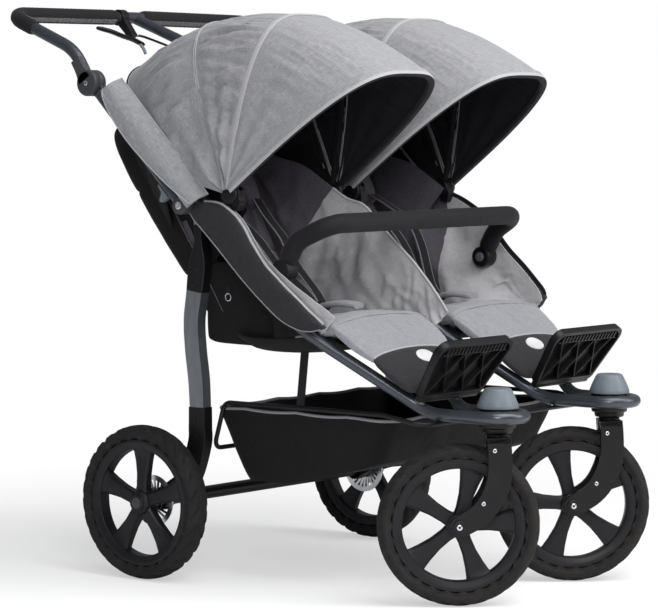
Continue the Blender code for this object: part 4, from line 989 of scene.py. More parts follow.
def add_footrest(side, s):
    """Dished plate with a rim, crossed ribs underneath and a comb of short ribs along its upper edge."""
    tilt = math.radians(56.0)
    along = Vector((0, -math.cos(tilt), math.sin(tilt)))
    top = Vector((0, math.sin(tilt), math.cos(tilt)))
    hinge = Vector((s * SEAT_X, 0.115, 0.381))
    low_half, high_half, length, corner, thick = 0.096, 0.114, 0.128, 0.024, 0.0075

    def place(u, v, n):
        return hinge + sideways(u) + along * v + top * n

    def slab(outline, n0, n1):
        return skin([[place(u, v, n) for u, v in outline] for n in (n0, n1)])

    def bar(p, q, width, n0, n1):
        p, q = Vector(p), Vector(q)
        ahead = (q - p).normalized()
        way = Vector((-ahead.y, ahead.x)) * width / 2
        return slab([p - way, q - way, q + way, p + way], n0, n1)

    outline = [(-low_half + 0.006, 0.004), (low_half - 0.006, 0.004), (low_half, 0.010)]
    for f in shares(8):
        turn = math.pi / 2 * f
        outline.append((high_half - corner + corner * math.cos(turn),
                        length - corner + corner * math.sin(turn)))
    outline += [(-u, v) for u, v in outline[:1:-1]]
    inside = [(u * 0.945, 0.012 + (v - 0.004) * 0.875) for u, v in outline]
    floor = slab(outline, thick - 0.0040, thick)
    edges = ((outline, thick - 0.001), (outline, -thick), (inside, -thick), (inside, thick - 0.001))
    rim = skin([[place(u, v, n) for u, v in edge] for edge, n in edges], along=True)
    low_v, high_v, rib_top = 0.014, 0.104, thick - 0.002
    ribs = []
    for v0, v1 in ((high_v, low_v), (low_v, high_v)):
        for u in (-0.085, -0.028, 0.029):
            ribs.append(bar((u, v0), (u + 0.057, v1), 0.0024, -thick + 0.001, rib_top))
    ribs.append(bar((-0.098, high_v), (0.098, high_v), 0.0026, -thick + 0.0005, rib_top))
    for k in range(17):
        u = -0.088 + 0.011 * k
        ribs.append(bar((u, high_v), (u, 0.119), 0.0046, -thick - 0.0006, rib_top))
    barrel = spun(((0.0030, -0.0880), (0.0070, -0.0880), (0.0075, -0.0872), (0.0075, 0.0872),
                   (0.0070, 0.0880), (0.0030, 0.0880)), 24, hinge)
    piece(f"{side}_footrest_plate", merge(floor, rim, barrel, *ribs), BLACK_PLASTIC, f"{side}_foot",
          (f"{side}_footrest",), bevel=0.0006)
    treads = []
    for k in range(5):
        u, v = 0.080 + 0.002 * k, 0.028 + 0.018 * k
        treads.append(bar((-u, v), (u, v), 0.004, thick - 0.0005, thick + 0.0012))
    piece(f"{side}_footrest_treads", merge(*treads), DARK_PLASTIC, f"{side}_foot", bevel=0.0005)


# Canopies

PIVOT_FLARE = 0.0042
CREASES = ((5.0, 0.9, 0.0080), (10.0, -1.3, 0.0055), (17.0, 1.8, 0.0022))
LIP = ((-0.0062, 0.0004), (-0.0052, 0.0034), (-0.0020, 0.0042), (0.0016, 0.0038), (0.0115, 0.0020),
       (0.0115, 0.0004), (0.0070, -0.0012), (0.0060, -0.0060), (0.0010, -0.0086), (-0.0040, -0.0068))
BOW_SEAM = ((-0.0056, 0.0012), (-0.0050, 0.0024), (-0.0018, 0.0033), (0.0018, 0.0033), (0.0050, 0.0024),
            (0.0056, 0.0012))


def arch(half_width, radius, turn):
    """Offset across and distance from the pivot, for a turn from 0 to pi over the canopy."""
    c, d = math.cos(turn), math.sin(turn)
    return -half_width * math.copysign(abs(c) ** ARCH_POWER, c), radius * max(d, 0.0) ** ARCH_POWER


def arch_turns(start_r, radius, steps):
    """Turns over the arch, from where it is start_r away from the pivots."""
    start = math.asin((start_r / radius) ** (1 / ARCH_POWER))
    return [start + (math.pi - 2 * start) * k / steps for k in range(steps + 1)]


def canopy_point(s, across, radius, degrees, lift=0.0):
    """Point at an angle from straight ahead, lifted square to the bow's plane."""
    angle = math.radians(degrees)
    ahead, up = -math.cos(angle), math.sin(angle)
    return Vector((s * CANOPY_X + across, CANOPY_PIVOT.y + radius * ahead + lift * up,
                   CANOPY_PIVOT.z + radius * up - lift * ahead))


def rear_edge_angle(turn, reach):
    """The back edge is square to the bow on top and follows the push tube down the sides."""
    top = CANOPY_STATIONS[3][0]
    tube_angle = min(166.0, 135.0 + math.degrees(math.asin(min(0.0856 / max(reach, 0.02), 0.9))))
    return top + (tube_angle - top) * abs(math.cos(turn))


def canopy_wrinkle(first, turn, f):
    """Soft relief of the cloth: folds gathered at the pivots, creases that run from bow to bow."""
    low = abs(math.cos(turn)) ** 5
    held = math.sin(math.pi * f) ** 0.85
    side = 0.14 + 0.86 * abs(math.cos(turn)) ** 0.9
    gathers = 0.0036 * low * math.sin(2 * math.pi * (2.6 * f + 0.15 * first))
    strength = (0.28, 1.0, 0.9)[first]
    if first == 2:
        held *= min(max((0.90 - f) / 0.40, 0.0), 1.0)
    crease = 0.0170 * abs(rough(turn * 9.0, f * 0.9 + 3.7 * first, 5.0 * first)) - 0.0030
    crease += 0.0100 * abs(rough(turn * 21.0, f * 1.3 + 1.3 * first, 9.0)) - 0.0018
    for scale, slant, size in CREASES:
        place = rough(turn * scale + f * slant, f * 0.6 + 2.3 * first, scale)
        crease += size * max(0.0, 1.0 - 4.0 * abs(place))
    return held * (gathers + strength * side * crease) + PIVOT_FLARE * low


def canopy_grid(s, first, columns, rows, offset, gap=0.0):
    """Lines of points from one bow to the next, for each step over the arch; gap clears the first bow."""
    (a0, r0), (a1, r1) = CANOPY_STATIONS[first:first + 2]
    grid = []
    for turn in arch_turns(0.010, r0, columns):
        line = []
        for f in shares(rows):
            swell = offset + canopy_wrinkle(first, turn, f)
            ends = [arch(CANOPY_HALF + swell, radius + swell, turn) for radius in (r0, r1)]
            far_angle = rear_edge_angle(turn, ends[1][1]) if first == 2 else a1
            near = canopy_point(s, *ends[0], a0, gap)
            far = canopy_point(s, *ends[1], far_angle)
            across, reach = (e0 + (e1 - e0) * f for e0, e1 in zip(*ends))
            turned = canopy_point(s, across, reach, a0 + (far_angle - a0) * f, gap * (1 - f))
            line.append(near.lerp(far, f).lerp(turned, 0.4))
        grid.append(line)
    return grid


def bend_between(item, first, s):
    """Bake the placement of a canopy panel into its mesh."""
    start, end = (station[0] for station in CANOPY_STATIONS[first:first + 2])
    top = arch(CANOPY_HALF, CANOPY_STATIONS[0][1], math.pi / 2)
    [canopy_point(s, *top, degrees) + SHIFT for degrees in (start, end)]
    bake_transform(item)


def bow_line(s, station, half_width, inset, lift=0.0, steps=72, start_r=0.0):
    angle, radius = CANOPY_STATIONS[station]
    return [canopy_point(s, *arch(half_width, radius - inset, turn), angle, lift)
            for turn in arch_turns(start_r, radius, steps)]


def edge_band(s, station, section):
    """Band round the cloth at a bow, from the (lift, radial offset) points of its section."""
    angle, radius = CANOPY_STATIONS[station]
    rings = []
    for turn in arch_turns(0.012, radius, 90):
        flare = PIVOT_FLARE * abs(math.cos(turn)) ** 5
        rings.append([canopy_point(s, *arch(CANOPY_HALF + out + flare, radius + out + flare, turn),
                                   angle, lift) for lift, out in section])
    return skin(rings)


def add_canopy_cloth(side, s):
    cloth, columns = 0.0022, 140
    front_bow, middle_bow = f"{side}_front_bow", f"{side}_middle_bow"
    plans = (("front", 22, 0.004, (front_bow, middle_bow), ("canopy_front_bow", "canopy_middle_bow")),
             ("middle", 18, 0.0, (middle_bow, "chassis"), ("canopy_middle_bow", "seat_tube")),
             ("back", 18, 0.0, (), ("seat_tube", "push_tube")))
    for first, (label, rows, gap, bodies, holds) in enumerate(plans):
        outer, inner = (canopy_grid(s, first, columns, rows, offset, gap)
                        for offset in (cloth / 2, -cloth / 2))
        shape, first_inner = shell(outer, inner)
        item = piece(f"{side}_canopy_{label}_cloth", shape, MELANGE, None if bodies else "chassis",
                     (f"{side}_canopy_{label}_panel",), SOFT_EDGE,
                     inner=(LINING, first_inner))
        if bodies:
            bend_between(item, first, s)
        spans(outer)[::-1]


def add_canopy_edges(side, s):
    """Bound front lip, piping over the bows, and the black sleeves of the bows inside."""
    edge = piece(f"{side}_canopy_lip", edge_band(s, 0, LIP), PIPING, f"{side}_front_bow",
                 (f"{side}_canopy_front_bow",))
    for look, first, last in ((MELANGE, 3, 5), (LINING, 5, 10), (LINING, 0, 1)):
        paint(edge, look, lambda face: len(face.vertices) == 4 and first <= face.index % len(LIP) < last)
    middle_bow = f"{side}_middle_bow"
    piece(f"{side}_canopy_middle_piping", edge_band(s, 1, BOW_SEAM), PIPING, middle_bow)
    cords = [tube(bow_line(s, 2, CANOPY_HALF + 0.0034, -0.0018, lift, 84, 0.014), 0.0013, 8)
             for lift in (-0.0024, 0.0024)]
    piece(f"{side}_canopy_back_piping", merge(*cords), PIPING, "chassis")
    rear, proud = [], 0.0006
    for turn in arch_turns(0.046, CANOPY_STATIONS[2][1], 84):
        across, reach = arch(CANOPY_HALF + proud, CANOPY_STATIONS[3][1] + proud, turn)
        rear.append(canopy_point(s, across, reach, rear_edge_angle(turn, reach)))
    piece(f"{side}_canopy_rear_piping", tube(rear, 0.0017, 8), PIPING, "chassis")
    trim = [p + Vector((0, 0.0022, 0.0006)) for p in rear[14:-14]]
    piece(f"{side}_canopy_rear_trim", tube(trim, 0.0024, 8, dome=0.004), BLACK_CLOTH, "chassis")
    piece(f"{side}_middle_bow_sleeve", tube(bow_line(s, 1, 0.150, 0.0105), 0.0052, 12), BLACK_CLOTH,
          middle_bow, (f"{side}_canopy_middle_bow",))
    for label, station, body in (("middle", 1, middle_bow), ("back", 2, "chassis")):
        edges = [tube(bow_line(s, station, 0.1585, 0.0036, lift, 60, 0.050), 0.0012, 6)
                 for lift in (-0.0065, 0.0065)]
        piece(f"{side}_{label}_sleeve_edges", merge(*edges), STRAP_EDGE, body)
    piece(f"{side}_back_bow_sleeve", tube(bow_line(s, 2, 0.152, 0.0085, start_r=0.060), 0.0046, 12),
          BLACK_CLOTH, "chassis")


def add_canopy_hinges(side, s):
    """Pivot discs of the bows, with the hinge block and screw cap inside each."""
    y, z = CANOPY_PIVOT.yz
    block = stroke(((y - 0.004, z + 0.004), (y - 0.010, z - 0.014), (y - 0.008, z - 0.030)),
                   (0.0110, 0.0120, 0.0080), 6)
    discs = ((0.0042, 0.0090, 0.0205, 0.0014), (0.0095, 0.0140, 0.0165, 0.0012),
             (0.0215, 0.0262, 0.0175, 0.0014))
    hubs, blocks, caps = [], [], []
    for inward in (1, -1):
        x = s * CANOPY_X - inward * 0.160
        hubs.append(drum(x - 0.0032, x + 0.0032, 0.0188, (y, z), 0.0012, 40))
        for near, far, radius, edge in discs:
            blocks.append(drum(x + inward * near, x + inward * far, radius, (y, z), edge, 40))
        blocks.append(prism(block, *sorted((x + inward * 0.0050, x + inward * 0.0240))))
        caps.append(screw(x + inward * 0.0262, x + inward * 0.0276, 0.0052, (y, z)))
    piece(f"{side}_front_bow_hubs", merge(*hubs), BLACK_PLASTIC, f"{side}_front_bow",
          bevel=0.0006)
    piece(f"{side}_canopy_hinges", merge(*blocks), BLACK_PLASTIC, "chassis", bevel=0.0008)
    piece(f"{side}_canopy_hinge_caps", merge(*caps), DARK_PLASTIC, "chassis")


FLAP_SECTION = ((0.0197, 0.016), (0.0172, 0.028), (0.0104, 0.0395), (0.0000, 0.0475), (-0.0112, 0.0535))
FLAP_LOW = ((-0.022, 0.028), (-0.012, 0.0235), (0.046, 0.011), (0.110, 0.002), (0.180, -0.003),
            (0.243, 0.002), (0.280, 0.012), (0.290, 0.024))


def add_flap(side, s):
    """Cloth band outside a push tube, folded in over its top and running down over the fold joint."""
    rise = (TILT - FOLD).normalized()
    across = Vector((0, -rise.z, rise.y))

    def rows(depth):
        grid = []
        for length, low in curve(FLAP_LOW, 6):
            section = curve(((0.0192, low), (0.0200, (low + 0.016) / 2)) + FLAP_SECTION, 4)
            centre = FOLD + sideways(s * PUSH_X) + rise * length
            ring = []
            for j, (a, b) in enumerate(section):
                soft = 0.0022 * rough(length * 34.0, j * 0.14, 2.0 + s)
                soft *= math.sin(math.pi * j / (len(section) - 1))
                ring.append(centre + sideways(s * (a - depth + soft)) + across * (b - depth * 0.6))
            grid.append(ring)
        return grid

    outer = rows(0.0)
    shape, _ = shell(outer, rows(0.0032))
    item = piece(f"{side}_flap_cloth", shape, MELANGE, "push_frame",
                 (f"{side}_canopy_flap",), sharp=60.0)
    spans(outer)
    for name, column in (("hem", 0), ("seam", -1)):
        line = [ring[column] + sideways(s * 0.0004) for ring in outer]
        piece(f"{side}_flap_{name}", tube(line, 0.0014, 8), PIPING, "push_frame")


# Seats

# Y, height of the top, half width, thickness
SEAT_STATIONS = ((0.128, 0.402, 0.096, 0.012), (0.136, 0.411, 0.104, 0.020), (0.160, 0.432, 0.114, 0.024),
                 (0.184, 0.453, 0.123, 0.022), (0.191, 0.457, 0.125, 0.015), (0.198, 0.465, 0.128, 0.022),
                 (0.230, 0.490, 0.140, 0.030), (0.258, 0.510, 0.147, 0.028), (0.267, 0.514, 0.148, 0.020),
                 (0.276, 0.519, 0.147, 0.028), (0.300, 0.520, 0.139, 0.036), (0.322, 0.518, 0.134, 0.040),
                 (0.350, 0.514, 0.131, 0.042), (0.388, 0.508, 0.126, 0.044), (0.420, 0.502, 0.098, 0.044),
                 (0.450, 0.498, 0.097, 0.042), (0.482, 0.492, 0.094, 0.036), (0.497, 0.488, 0.088, 0.018))
APRON_END = 4
KNEE = 8
SEAT_CROWN = 0.011
# Length up the back, half width, thickness, swell of the front
BACK_STATIONS = ((0.000, 0.092, 0.022, 0.000), (0.014, 0.104, 0.040, 0.004), (0.060, 0.109, 0.048, 0.014),
                 (0.128, 0.111, 0.048, 0.030), (0.142, 0.111, 0.038, 0.030), (0.156, 0.111, 0.048, 0.036),
                 (0.250, 0.111, 0.052, 0.052), (0.332, 0.111, 0.050, 0.060), (0.346, 0.110, 0.039, 0.056),
                 (0.360, 0.110, 0.048, 0.058), (0.440, 0.104, 0.044, 0.048), (0.480, 0.093, 0.034, 0.030),
                 (0.495, 0.078, 0.018, 0.016))
RECLINE_HINGE = Vector((0.0, 0.556, 0.492))
BACK_ALONG = direction(51.6)
BACK_FRONT = Vector((0, -BACK_ALONG.z, BACK_ALONG.y))


def cushion_ring(half_width, thickness, crown, under=1.0, steps=112, swell=0.0):
    """Cushion section: crowned top, drawn-in sides, underside as deep and top as full as asked."""
    half = steps // 2
    ring = []
    for k in range(2 * half):
        upper = k < half
        share = math.cos(math.pi * (k % half) / half) * (1 if upper else -1)
        rise = math.sqrt(max(1 - abs(share) ** (2 / 0.45), 0.0)) ** 0.55
        depth = thickness / 2 + swell if upper else -thickness / 2 * under
        lift = crown * (1 - share ** 2) if upper else 0.0
        ring.append((half_width * share, rise * depth + lift, upper))
    return ring


def groove(offset, width):
    """One at a seam and falling to nothing at a distance from it."""
    return math.exp(-(offset / width) ** 2)


def seat_relief(a, y):
    """Depth of the pulled lines on the calf panel and of the stitched channels on the seat."""
    depth = 0.0
    if 0.198 < y < 0.264:
        held = math.sin(math.pi * (y - 0.198) / 0.066) ** 0.5
        depth += 0.0042 * held * rough(a * 75 + (y - 0.23) * 30, y * 9, 11.0)
        depth += 0.0034 * held * rough(a * 190 + (y - 0.23) * 60, y * 14, 17.0)
    if y > 0.30:
        depth += 0.0034 * groove(abs(a) - 0.072, 0.0045)
        depth += 0.0016 * rough(a * 40, y * 55, 23.0)
    return depth


def add_seat_pad(side, s):
    """Seat cushion and the darker apron in front of it, with piping at the knee and at the calf."""
    steps = 6
    split = APRON_END * steps
    rings = []
    for y, top, half_width, thickness in curve(SEAT_STATIONS, steps):
        ring = []
        for a, b, upper in cushion_ring(half_width, thickness, SEAT_CROWN, steps=240):
            soft = 0.0016 * rough(a * 22, y * 22, 3.0 + s)
            b += soft - seat_relief(a, y) if upper else soft
            ring.append(Vector((s * SEAT_X + a, y, top - thickness / 2 + b)))
        rings.append(ring)
    pad = piece(f"{side}_seat_cushion", skin(rings[split:]), SEAT_CLOTH, "chassis",
                (f"{side}_seat_pad",), SOFT_EDGE)
    apron = piece(f"{side}_calf_apron", skin(rings[:split + 1]), CHARCOAL, "chassis",
                  (f"{side}_seat_pad",), SOFT_EDGE)
    for name, station, look in (("knee", KNEE, SEAT_CLOTH), ("calf", APRON_END, PIPING)):
        y, top, half_width, thickness = SEAT_STATIONS[station]
        section = cushion_ring(half_width - 0.002, thickness, SEAT_CROWN)
        line = [Vector((s * SEAT_X + a, y, top - thickness / 2 + b + 0.0008))
                for a, b, upper in section if upper]
        piece(f"{side}_{name}_piping", tube(line, 0.0018, 8, dome=0.0018), look, "chassis")


def add_backrest(side, s):
    """Back cushion with two stitched channels; its rear faces are the black cover."""
    hinge = RECLINE_HINGE + sideways(s * SEAT_X)
    rings = []
    for length, half_width, thickness, swell in curve(BACK_STATIONS, 6):
        ring = []
        for a, b, upper in cushion_ring(half_width, thickness, 0.008, 1.6, swell=swell):
            soft = 0.0024 * rough(a * 20, length * 20, 7.0 + s)
            seam = 0.0045 * groove(abs(a) - 0.062, 0.005) if upper else 0.0
            ring.append(hinge + BACK_ALONG * length + sideways(a) + BACK_FRONT * (b + soft - seam))
        rings.append(ring)
    back = piece(f"{side}_back_cushion", skin(rings), BACK_CLOTH, f"{side}_back",
                 (f"{side}_backrest",), SOFT_EDGE)
    paint(back, BLACK_CLOTH, lambda face: face.normal.dot(BACK_FRONT) < 0.12)


# Padded bands and cloth walls beside the seats

BAND_STEPS = 7
# Length down the seat tube, lower edge, upper edge on the right, upper edge on the left
BAND_STATIONS = ((0.006, -0.008, 0.010, 0.010), (0.028, -0.012, 0.032, 0.040),
                 (0.056, -0.014, 0.052, 0.066), (0.090, -0.016, 0.060, 0.082),
                 (0.125, -0.0175, 0.058, 0.092), (0.166, -0.0190, 0.047, 0.098),
                 (0.210, -0.0200, 0.039, 0.094), (0.261, -0.0190, 0.038, 0.087),
                 (0.312, -0.0150, 0.041, 0.086), (0.352, -0.0010, 0.043, 0.083),
                 (0.378, 0.0180, 0.046, 0.080), (0.394, 0.0400, 0.046, 0.072))
WALL_STEPS = 6
WALL_SPLIT = 3 * WALL_STEPS + 2
# Length down the seat tube, lower edge, upper edge, distance from the middle of the stroller
WALL_STATIONS = ((-0.135, -0.030, 0.030, 0.0630), (-0.070, -0.060, 0.056, 0.0630),
                 (-0.010, -0.098, 0.086, 0.0630), (0.055, -0.128, 0.098, 0.0630),
                 (0.112, -0.144, 0.106, 0.0600), (0.150, -0.150, 0.122, 0.0560),
                 (0.195, -0.140, 0.119, 0.0520), (0.240, -0.112, 0.115, 0.0495),
                 (0.285, -0.076, 0.1145, 0.0485), (0.320, -0.042, 0.1135, 0.0480),
                 (0.345, -0.018, 0.110, 0.0475), (0.370, 0.002, 0.107, 0.0470),
                 (0.405, 0.020, 0.100, 0.0470), (0.430, 0.036, 0.094, 0.0470))
WALL_TOPS = {"right": [row[2] for row in WALL_STATIONS],
             "left": (0.030, 0.040, 0.046, 0.050, 0.052, 0.052, 0.050, 0.048, 0.044, 0.040)}
REAR_TOPS = {"right": (0.016, 0.030, 0.052, 0.064), "left": (0.036, 0.056, 0.084, 0.096)}
REAR_X = (0.304, 0.298, 0.2955, 0.2960)
REAR_END = {"right": (0.060, 0.300), "left": (0.098, 0.300)}
DARK_POINT = Vector((0, 0.490, 0.650))
DARK_WAY = Vector((0, 1, -0.16))
LINING_ALONG = (0.10, 0.20, 0.29, 0.36, 0.40)
LINING_RISE = {"right": (0.002, 0.004, 0.012, 0.022, 0.024),
               "left": (-0.004, -0.004, -0.004, -0.004, -0.006)}
LEAN_HEIGHTS = (-0.12, -0.06, -0.028, -0.010, 0.010, 0.022, 0.036, 0.12)
LEAN_OFFSETS = (-0.060, -0.060, -0.0575, -0.042, -0.0195, -0.009, -0.0005, 0.0010)


def by_tube(s, x, length, height):
    """Point by a leg of the seat tube: distance from the middle, length along it, height square to it."""
    return FOLD + sideways(s * x) + TUBE_ALONG * length + TUBE_UP * height


def crumple(length, f, seed):
    """Sharp slanting creases of slack cloth, deepest low on a wall."""
    depth = 0.0
    for scale, slant, size in ((11.0, 2.4, 0.0090), (23.0, -3.4, 0.0055), (41.0, 5.0, 0.0030)):
        place = rough(length * scale + f * slant, f * 2.2 + length * scale * 0.22, seed + scale)
        depth += size * max(0.0, 1.0 - 5.0 * abs(place)) ** 1.3
    return depth * (1.0 - 0.55 * f) * between(length, (0.29, 0.37), (1.0, 0.15))


def band_section(length, low, top):
    """Outline of the band round the tube, as (distance out, height), and its half width."""
    wrap = between(length, (0.010, 0.030, 0.335, 0.356), (0.6, 1.0, 1.0, 0.0))
    wide = 0.0205 * between(length, (0.006, 0.040, 0.376, 0.394), (0.62, 1.0, 1.0, 0.72))
    inner = 0.0008 - 0.0174 * wrap
    tall = top - low
    marks = ((wide * 0.35, low), (inner * 0.6, low + 0.10 * tall * (1 - wrap) + 0.004 * wrap),
             (inner, low * wrap * 0.3 + (1 - wrap) * (low + 0.22 * tall)),
             (inner * 0.75, max(0.0115 * wrap, low + 0.32 * tall)),
             (-0.0010, max(0.0165 * wrap, low + 0.42 * tall)), (0.0012, low + 0.62 * tall),
             (0.0012, top - 0.16 * tall), (0.0032, top - 0.05 * tall), (0.0085, top),
             (0.0145, top - 0.02 * tall), (wide * 0.95, top - 0.14 * tall),
             (wide * 1.06, low + 0.58 * tall), (wide * 1.03, low + 0.34 * tall),
             (wide * 0.93, low + 0.14 * tall), (wide * 0.66, low + 0.02 * tall))
    return marks, wide


def add_outer_panel(side, s):
    """Padded band round the outer leg of the seat tube, with its hem and bound upper edge."""
    top_column = 2 if side == "right" else 3
    rows = [(row[0], row[1], row[top_column]) for row in curve(BAND_STATIONS, BAND_STEPS)]
    rings, hem, binding = [], [], []
    for length, low, top in rows:
        marks, wide = band_section(length, low, top)
        ring = []
        for j, (a, b) in enumerate(marks):
            soft = 0.0026 * rough(length * 38, j * 0.33, s * 3.0)
            soft += 0.0030 * max(0.0, 1.0 - 4.0 * abs(rough(length * 30 + j * 0.5, j * 0.25, s * 7.0)))
            soft += 0.0022 * groove(length - 0.235, 0.012) * math.sin(j * 1.1)
            ring.append(by_tube(s, OUTER_X + a + soft, length, b + soft * 0.5))
        rings.append(ring)
        hem.append(by_tube(s, OUTER_X + wide * 0.98, length, low + 0.10 * (top - low)))
        binding.append(by_tube(s, OUTER_X + 0.0080, length, top + 0.0004))
    item = piece(f"{side}_outer_band", skin(rings), CHARCOAL, "chassis",
                 (f"{side}_outer_side_panel",), SOFT_EDGE, levels=1)
    piece(f"{side}_outer_hem", tube(hem[2:-1], 0.0012, 8), STRAP_EDGE, "chassis")
    edge = BLACK_CLOTH if side == "left" else PIPING
    piece(f"{side}_outer_binding", tube(binding[6:-3], 0.0030, 10, dome=0.003), edge, "chassis")
    add_outer_lining(side, s, rows[2 * BAND_STEPS:])


def add_outer_lining(side, s, rows):
    """Cloth inside the band, down to the seat: pale in front, dark behind, black outside below."""
    def sheet(depth):
        grid = []
        for length, band_low, top in rows:
            high = top + between(length, LINING_ALONG, LINING_RISE[side])
            low = min(looked_up(length, WALL_STATIONS, 1), high - 0.020)
            if length > 0.30:
                low = max(low, band_low - 0.008)
            line = []
            for f in shares(34):
                height = high + (low - high) * f
                fold = abs(0.0040 * rough(length * 24 + f, f * 0.8, 21.0 + s))
                fold = (fold + crumple(length, 1.0 - f, 31.0 + s)) * math.sin(math.pi * f)
                lean = between(height, LEAN_HEIGHTS, LEAN_OFFSETS)
                line.append(by_tube(s, OUTER_X + lean - abs(fold) - depth, length, height))
            grid.append(line)
        return grid

    near = sheet(0.0)
    shape, first_inner = shell(near, sheet(0.0018))
    item = piece(f"{side}_outer_lining", shape, WALL_CLOTH, "chassis", sharp=SOFT_EDGE)
    paint(item, BLACK_CLOTH, lambda face: face.index < first_inner
          and (face.center - SHIFT - FOLD).dot(TUBE_UP) < 0.0)
    seam_across(item, SHIFT + DARK_POINT, DARK_WAY)
    paint(item, BACK_CLOTH, lambda face: face.material_index == 0
          and (face.center - SHIFT - DARK_POINT).dot(DARK_WAY) > 0.0)
    flat = (lengths([line[0] for line in near])[-1], spans(near)[0])


def add_wall(name, s, stations, looks, nodes, seed, way=1.0):
    """Upright cloth beside a seat, with folds that fade at its edges; way turns the folds."""
    def sheet(depth):
        grid = []
        for length, low, top, x in stations:
            line = []
            for f in shares(30):
                fold = 0.0240 * abs(rough(length * 20 + f * 1.6, f * 1.5, seed)) - 0.0030
                fold += 0.0110 * abs(rough(length * 48 + f * 4.0, f * 2.6, seed + 4)) - 0.0015
                fold += crumple(length, f, seed)
                fold *= way * math.sin(math.pi * min(max(f, 0.03), 0.97))
                line.append(by_tube(s, x + fold - depth, length, low + (top - low) * f))
            grid.append(line)
        return grid

    near = sheet(0.0)
    shape, first_inner = shell(near, sheet(0.0022))
    item = piece(name, shape, looks[0], "chassis", nodes, SOFT_EDGE,
                 inner=(looks[1], first_inner))
    spans(near)[::-1]
    return near


def add_inner_panel(side, s):
    """Padded cover of the inner leg of the seat tube and the cloth walls on both sides of the seat."""
    rings = []
    for f in shares(42):
        height = 0.018 + 0.018 * math.sin(math.pi * f) ** 0.5
        end = min(1.0, 0.62 + 0.38 * math.sqrt(min(1.0, min(f, 1 - f) / 0.05)))
        soft = 0.0014 * rough(f * 14, 4.0, s)
        rings.append([by_tube(s, INNER_X + (0.0196 + soft) * c * end, 0.078 + 0.274 * f, height * d * end)
                      for c, d in ring_points(1.0, 28)])
    nodes = (f"{side}_inner_side_panel",)
    cover = piece(f"{side}_inner_cover", skin(rings), WALL_CLOTH, "chassis", nodes,
                  SOFT_EDGE)
    rows = [(length, low, top, x) for (length, low, _, x), top in zip(WALL_STATIONS, WALL_TOPS[side])]
    stations = curve(rows, WALL_STEPS)
    near = add_wall(f"{side}_seat_wall", s, stations[WALL_SPLIT:], (WALL_CLOTH, WALL_CLOTH), nodes,
                    6.0 + s)
    add_wall(f"{side}_wall_lining", s, stations[:WALL_SPLIT + 1], (BACK_CLOTH, BLACK_CLOTH), nodes,
             6.0 + s)
    top_line = [line[-1] - sideways(s * 0.0011) for line in near]
    piece(f"{side}_wall_binding", tube(top_line, 0.0027, 10, dome=0.002), PIPING, "chassis")
    rear = [(*row[:2], top, x) for row, top, x in zip(WALL_STATIONS, REAR_TOPS[side], REAR_X)]
    rear.append((0.085, -0.130, *REAR_END[side]))
    add_wall(f"{side}_outer_wall_lining", s, curve(rear, WALL_STEPS), (BLACK_CLOTH, BACK_CLOTH), (),
             15.0 + s, -0.4)


def add_side_bag(side, s):
    """Soft pocket with a zip and a ring pull, hung between the backrest and the rear leg."""
    outline = smooth(((0.412, 0.480), (0.424, 0.464), (0.480, 0.461), (0.550, 0.462), (0.594, 0.467),
                      (0.604, 0.486), (0.604, 0.560), (0.598, 0.604), (0.580, 0.618), (0.540, 0.616),
                      (0.505, 0.602), (0.457, 0.556), (0.412, 0.512), (0.409, 0.494)), 5)
    my, mz = 0.500, 0.530
    rows = ((0.2855, 0.80), (0.2862, 0.93), (0.2884, 1.0), (0.2956, 1.0), (0.2990, 0.94), (0.3004, 0.80),
            (0.3016, 0.5))
    rings = []
    for x, scale in rows:
        ring = []
        for p, q in outline:
            y, z = my + (p - my) * scale, mz + (q - mz) * scale
            thin = between(y, (0.535, 0.560), (0.0, 1.0))
            place = x * (1 - thin) + thin * (0.2984 + (x - 0.2935) * 0.12)
            soft = 0.0022 * rough(y * 30, z * 30, s) * (1 - thin) if x > 0.29 else 0.0
            ring.append(Vector((s * (place + soft), y, z)))
        rings.append(ring)
    bag = piece(f"{side}_pocket", skin(rings), BLACK_CLOTH, "chassis",
                (f"{side}_side_bag",), sharp=60.0, levels=1)
    zip_marks = ((0.440, 0.520), (0.470, 0.550), (0.500, 0.578), (0.528, 0.594))
    zip_line = smooth([Vector((s * 0.3012, y, z)) for y, z in zip_marks], 6)
    marks = stretch(zip_line, 0.0, lengths(zip_line)[-1], 44)
    teeth = [tube([a, b], 0.0012, 6) for a, b in zip(marks[::2], marks[1::2])]
    piece(f"{side}_pocket_zip", merge(*teeth), DARK_PLASTIC, "chassis")
    centre = Vector((s * 0.3030, 0.548, 0.552))
    loop = [centre + Vector((0, a, b)) for a, b in ring_points(0.0070, 28)]
    line = [centre + Vector((0, 0, z)) for z in (0.0065, 0.014, 0.022)]
    piece(f"{side}_pocket_pull", tube(loop, 0.0012, 8, closed=True), STEEL, "chassis")
    piece(f"{side}_pocket_pull_tag", ribbon(line, [sideways(s)] * 3, 0.006, 0.0012), WEBBING, "chassis")


# Cloth that closes the seat

BACK_GAPS = (("inner", 0.0625, 0.084), ("outer", 0.300, 0.284))
HINGE_MARKS = ((0.470, 0.492), (0.492, 0.486), (0.515, 0.484), (0.536, 0.496), (0.549, 0.526),
               (0.560, 0.560))
HINGE_LINE = [Vector((0, y, z)) for y, z in HINGE_MARKS]
CURTAIN_OUTLINE = ((0.215, -0.105), (0.370, -0.103), (0.455, -0.094), (0.482, -0.072), (0.490, -0.035),
                   (0.491, 0.0), (0.490, 0.035), (0.482, 0.072), (0.455, 0.094), (0.370, 0.103),
                   (0.215, 0.105))


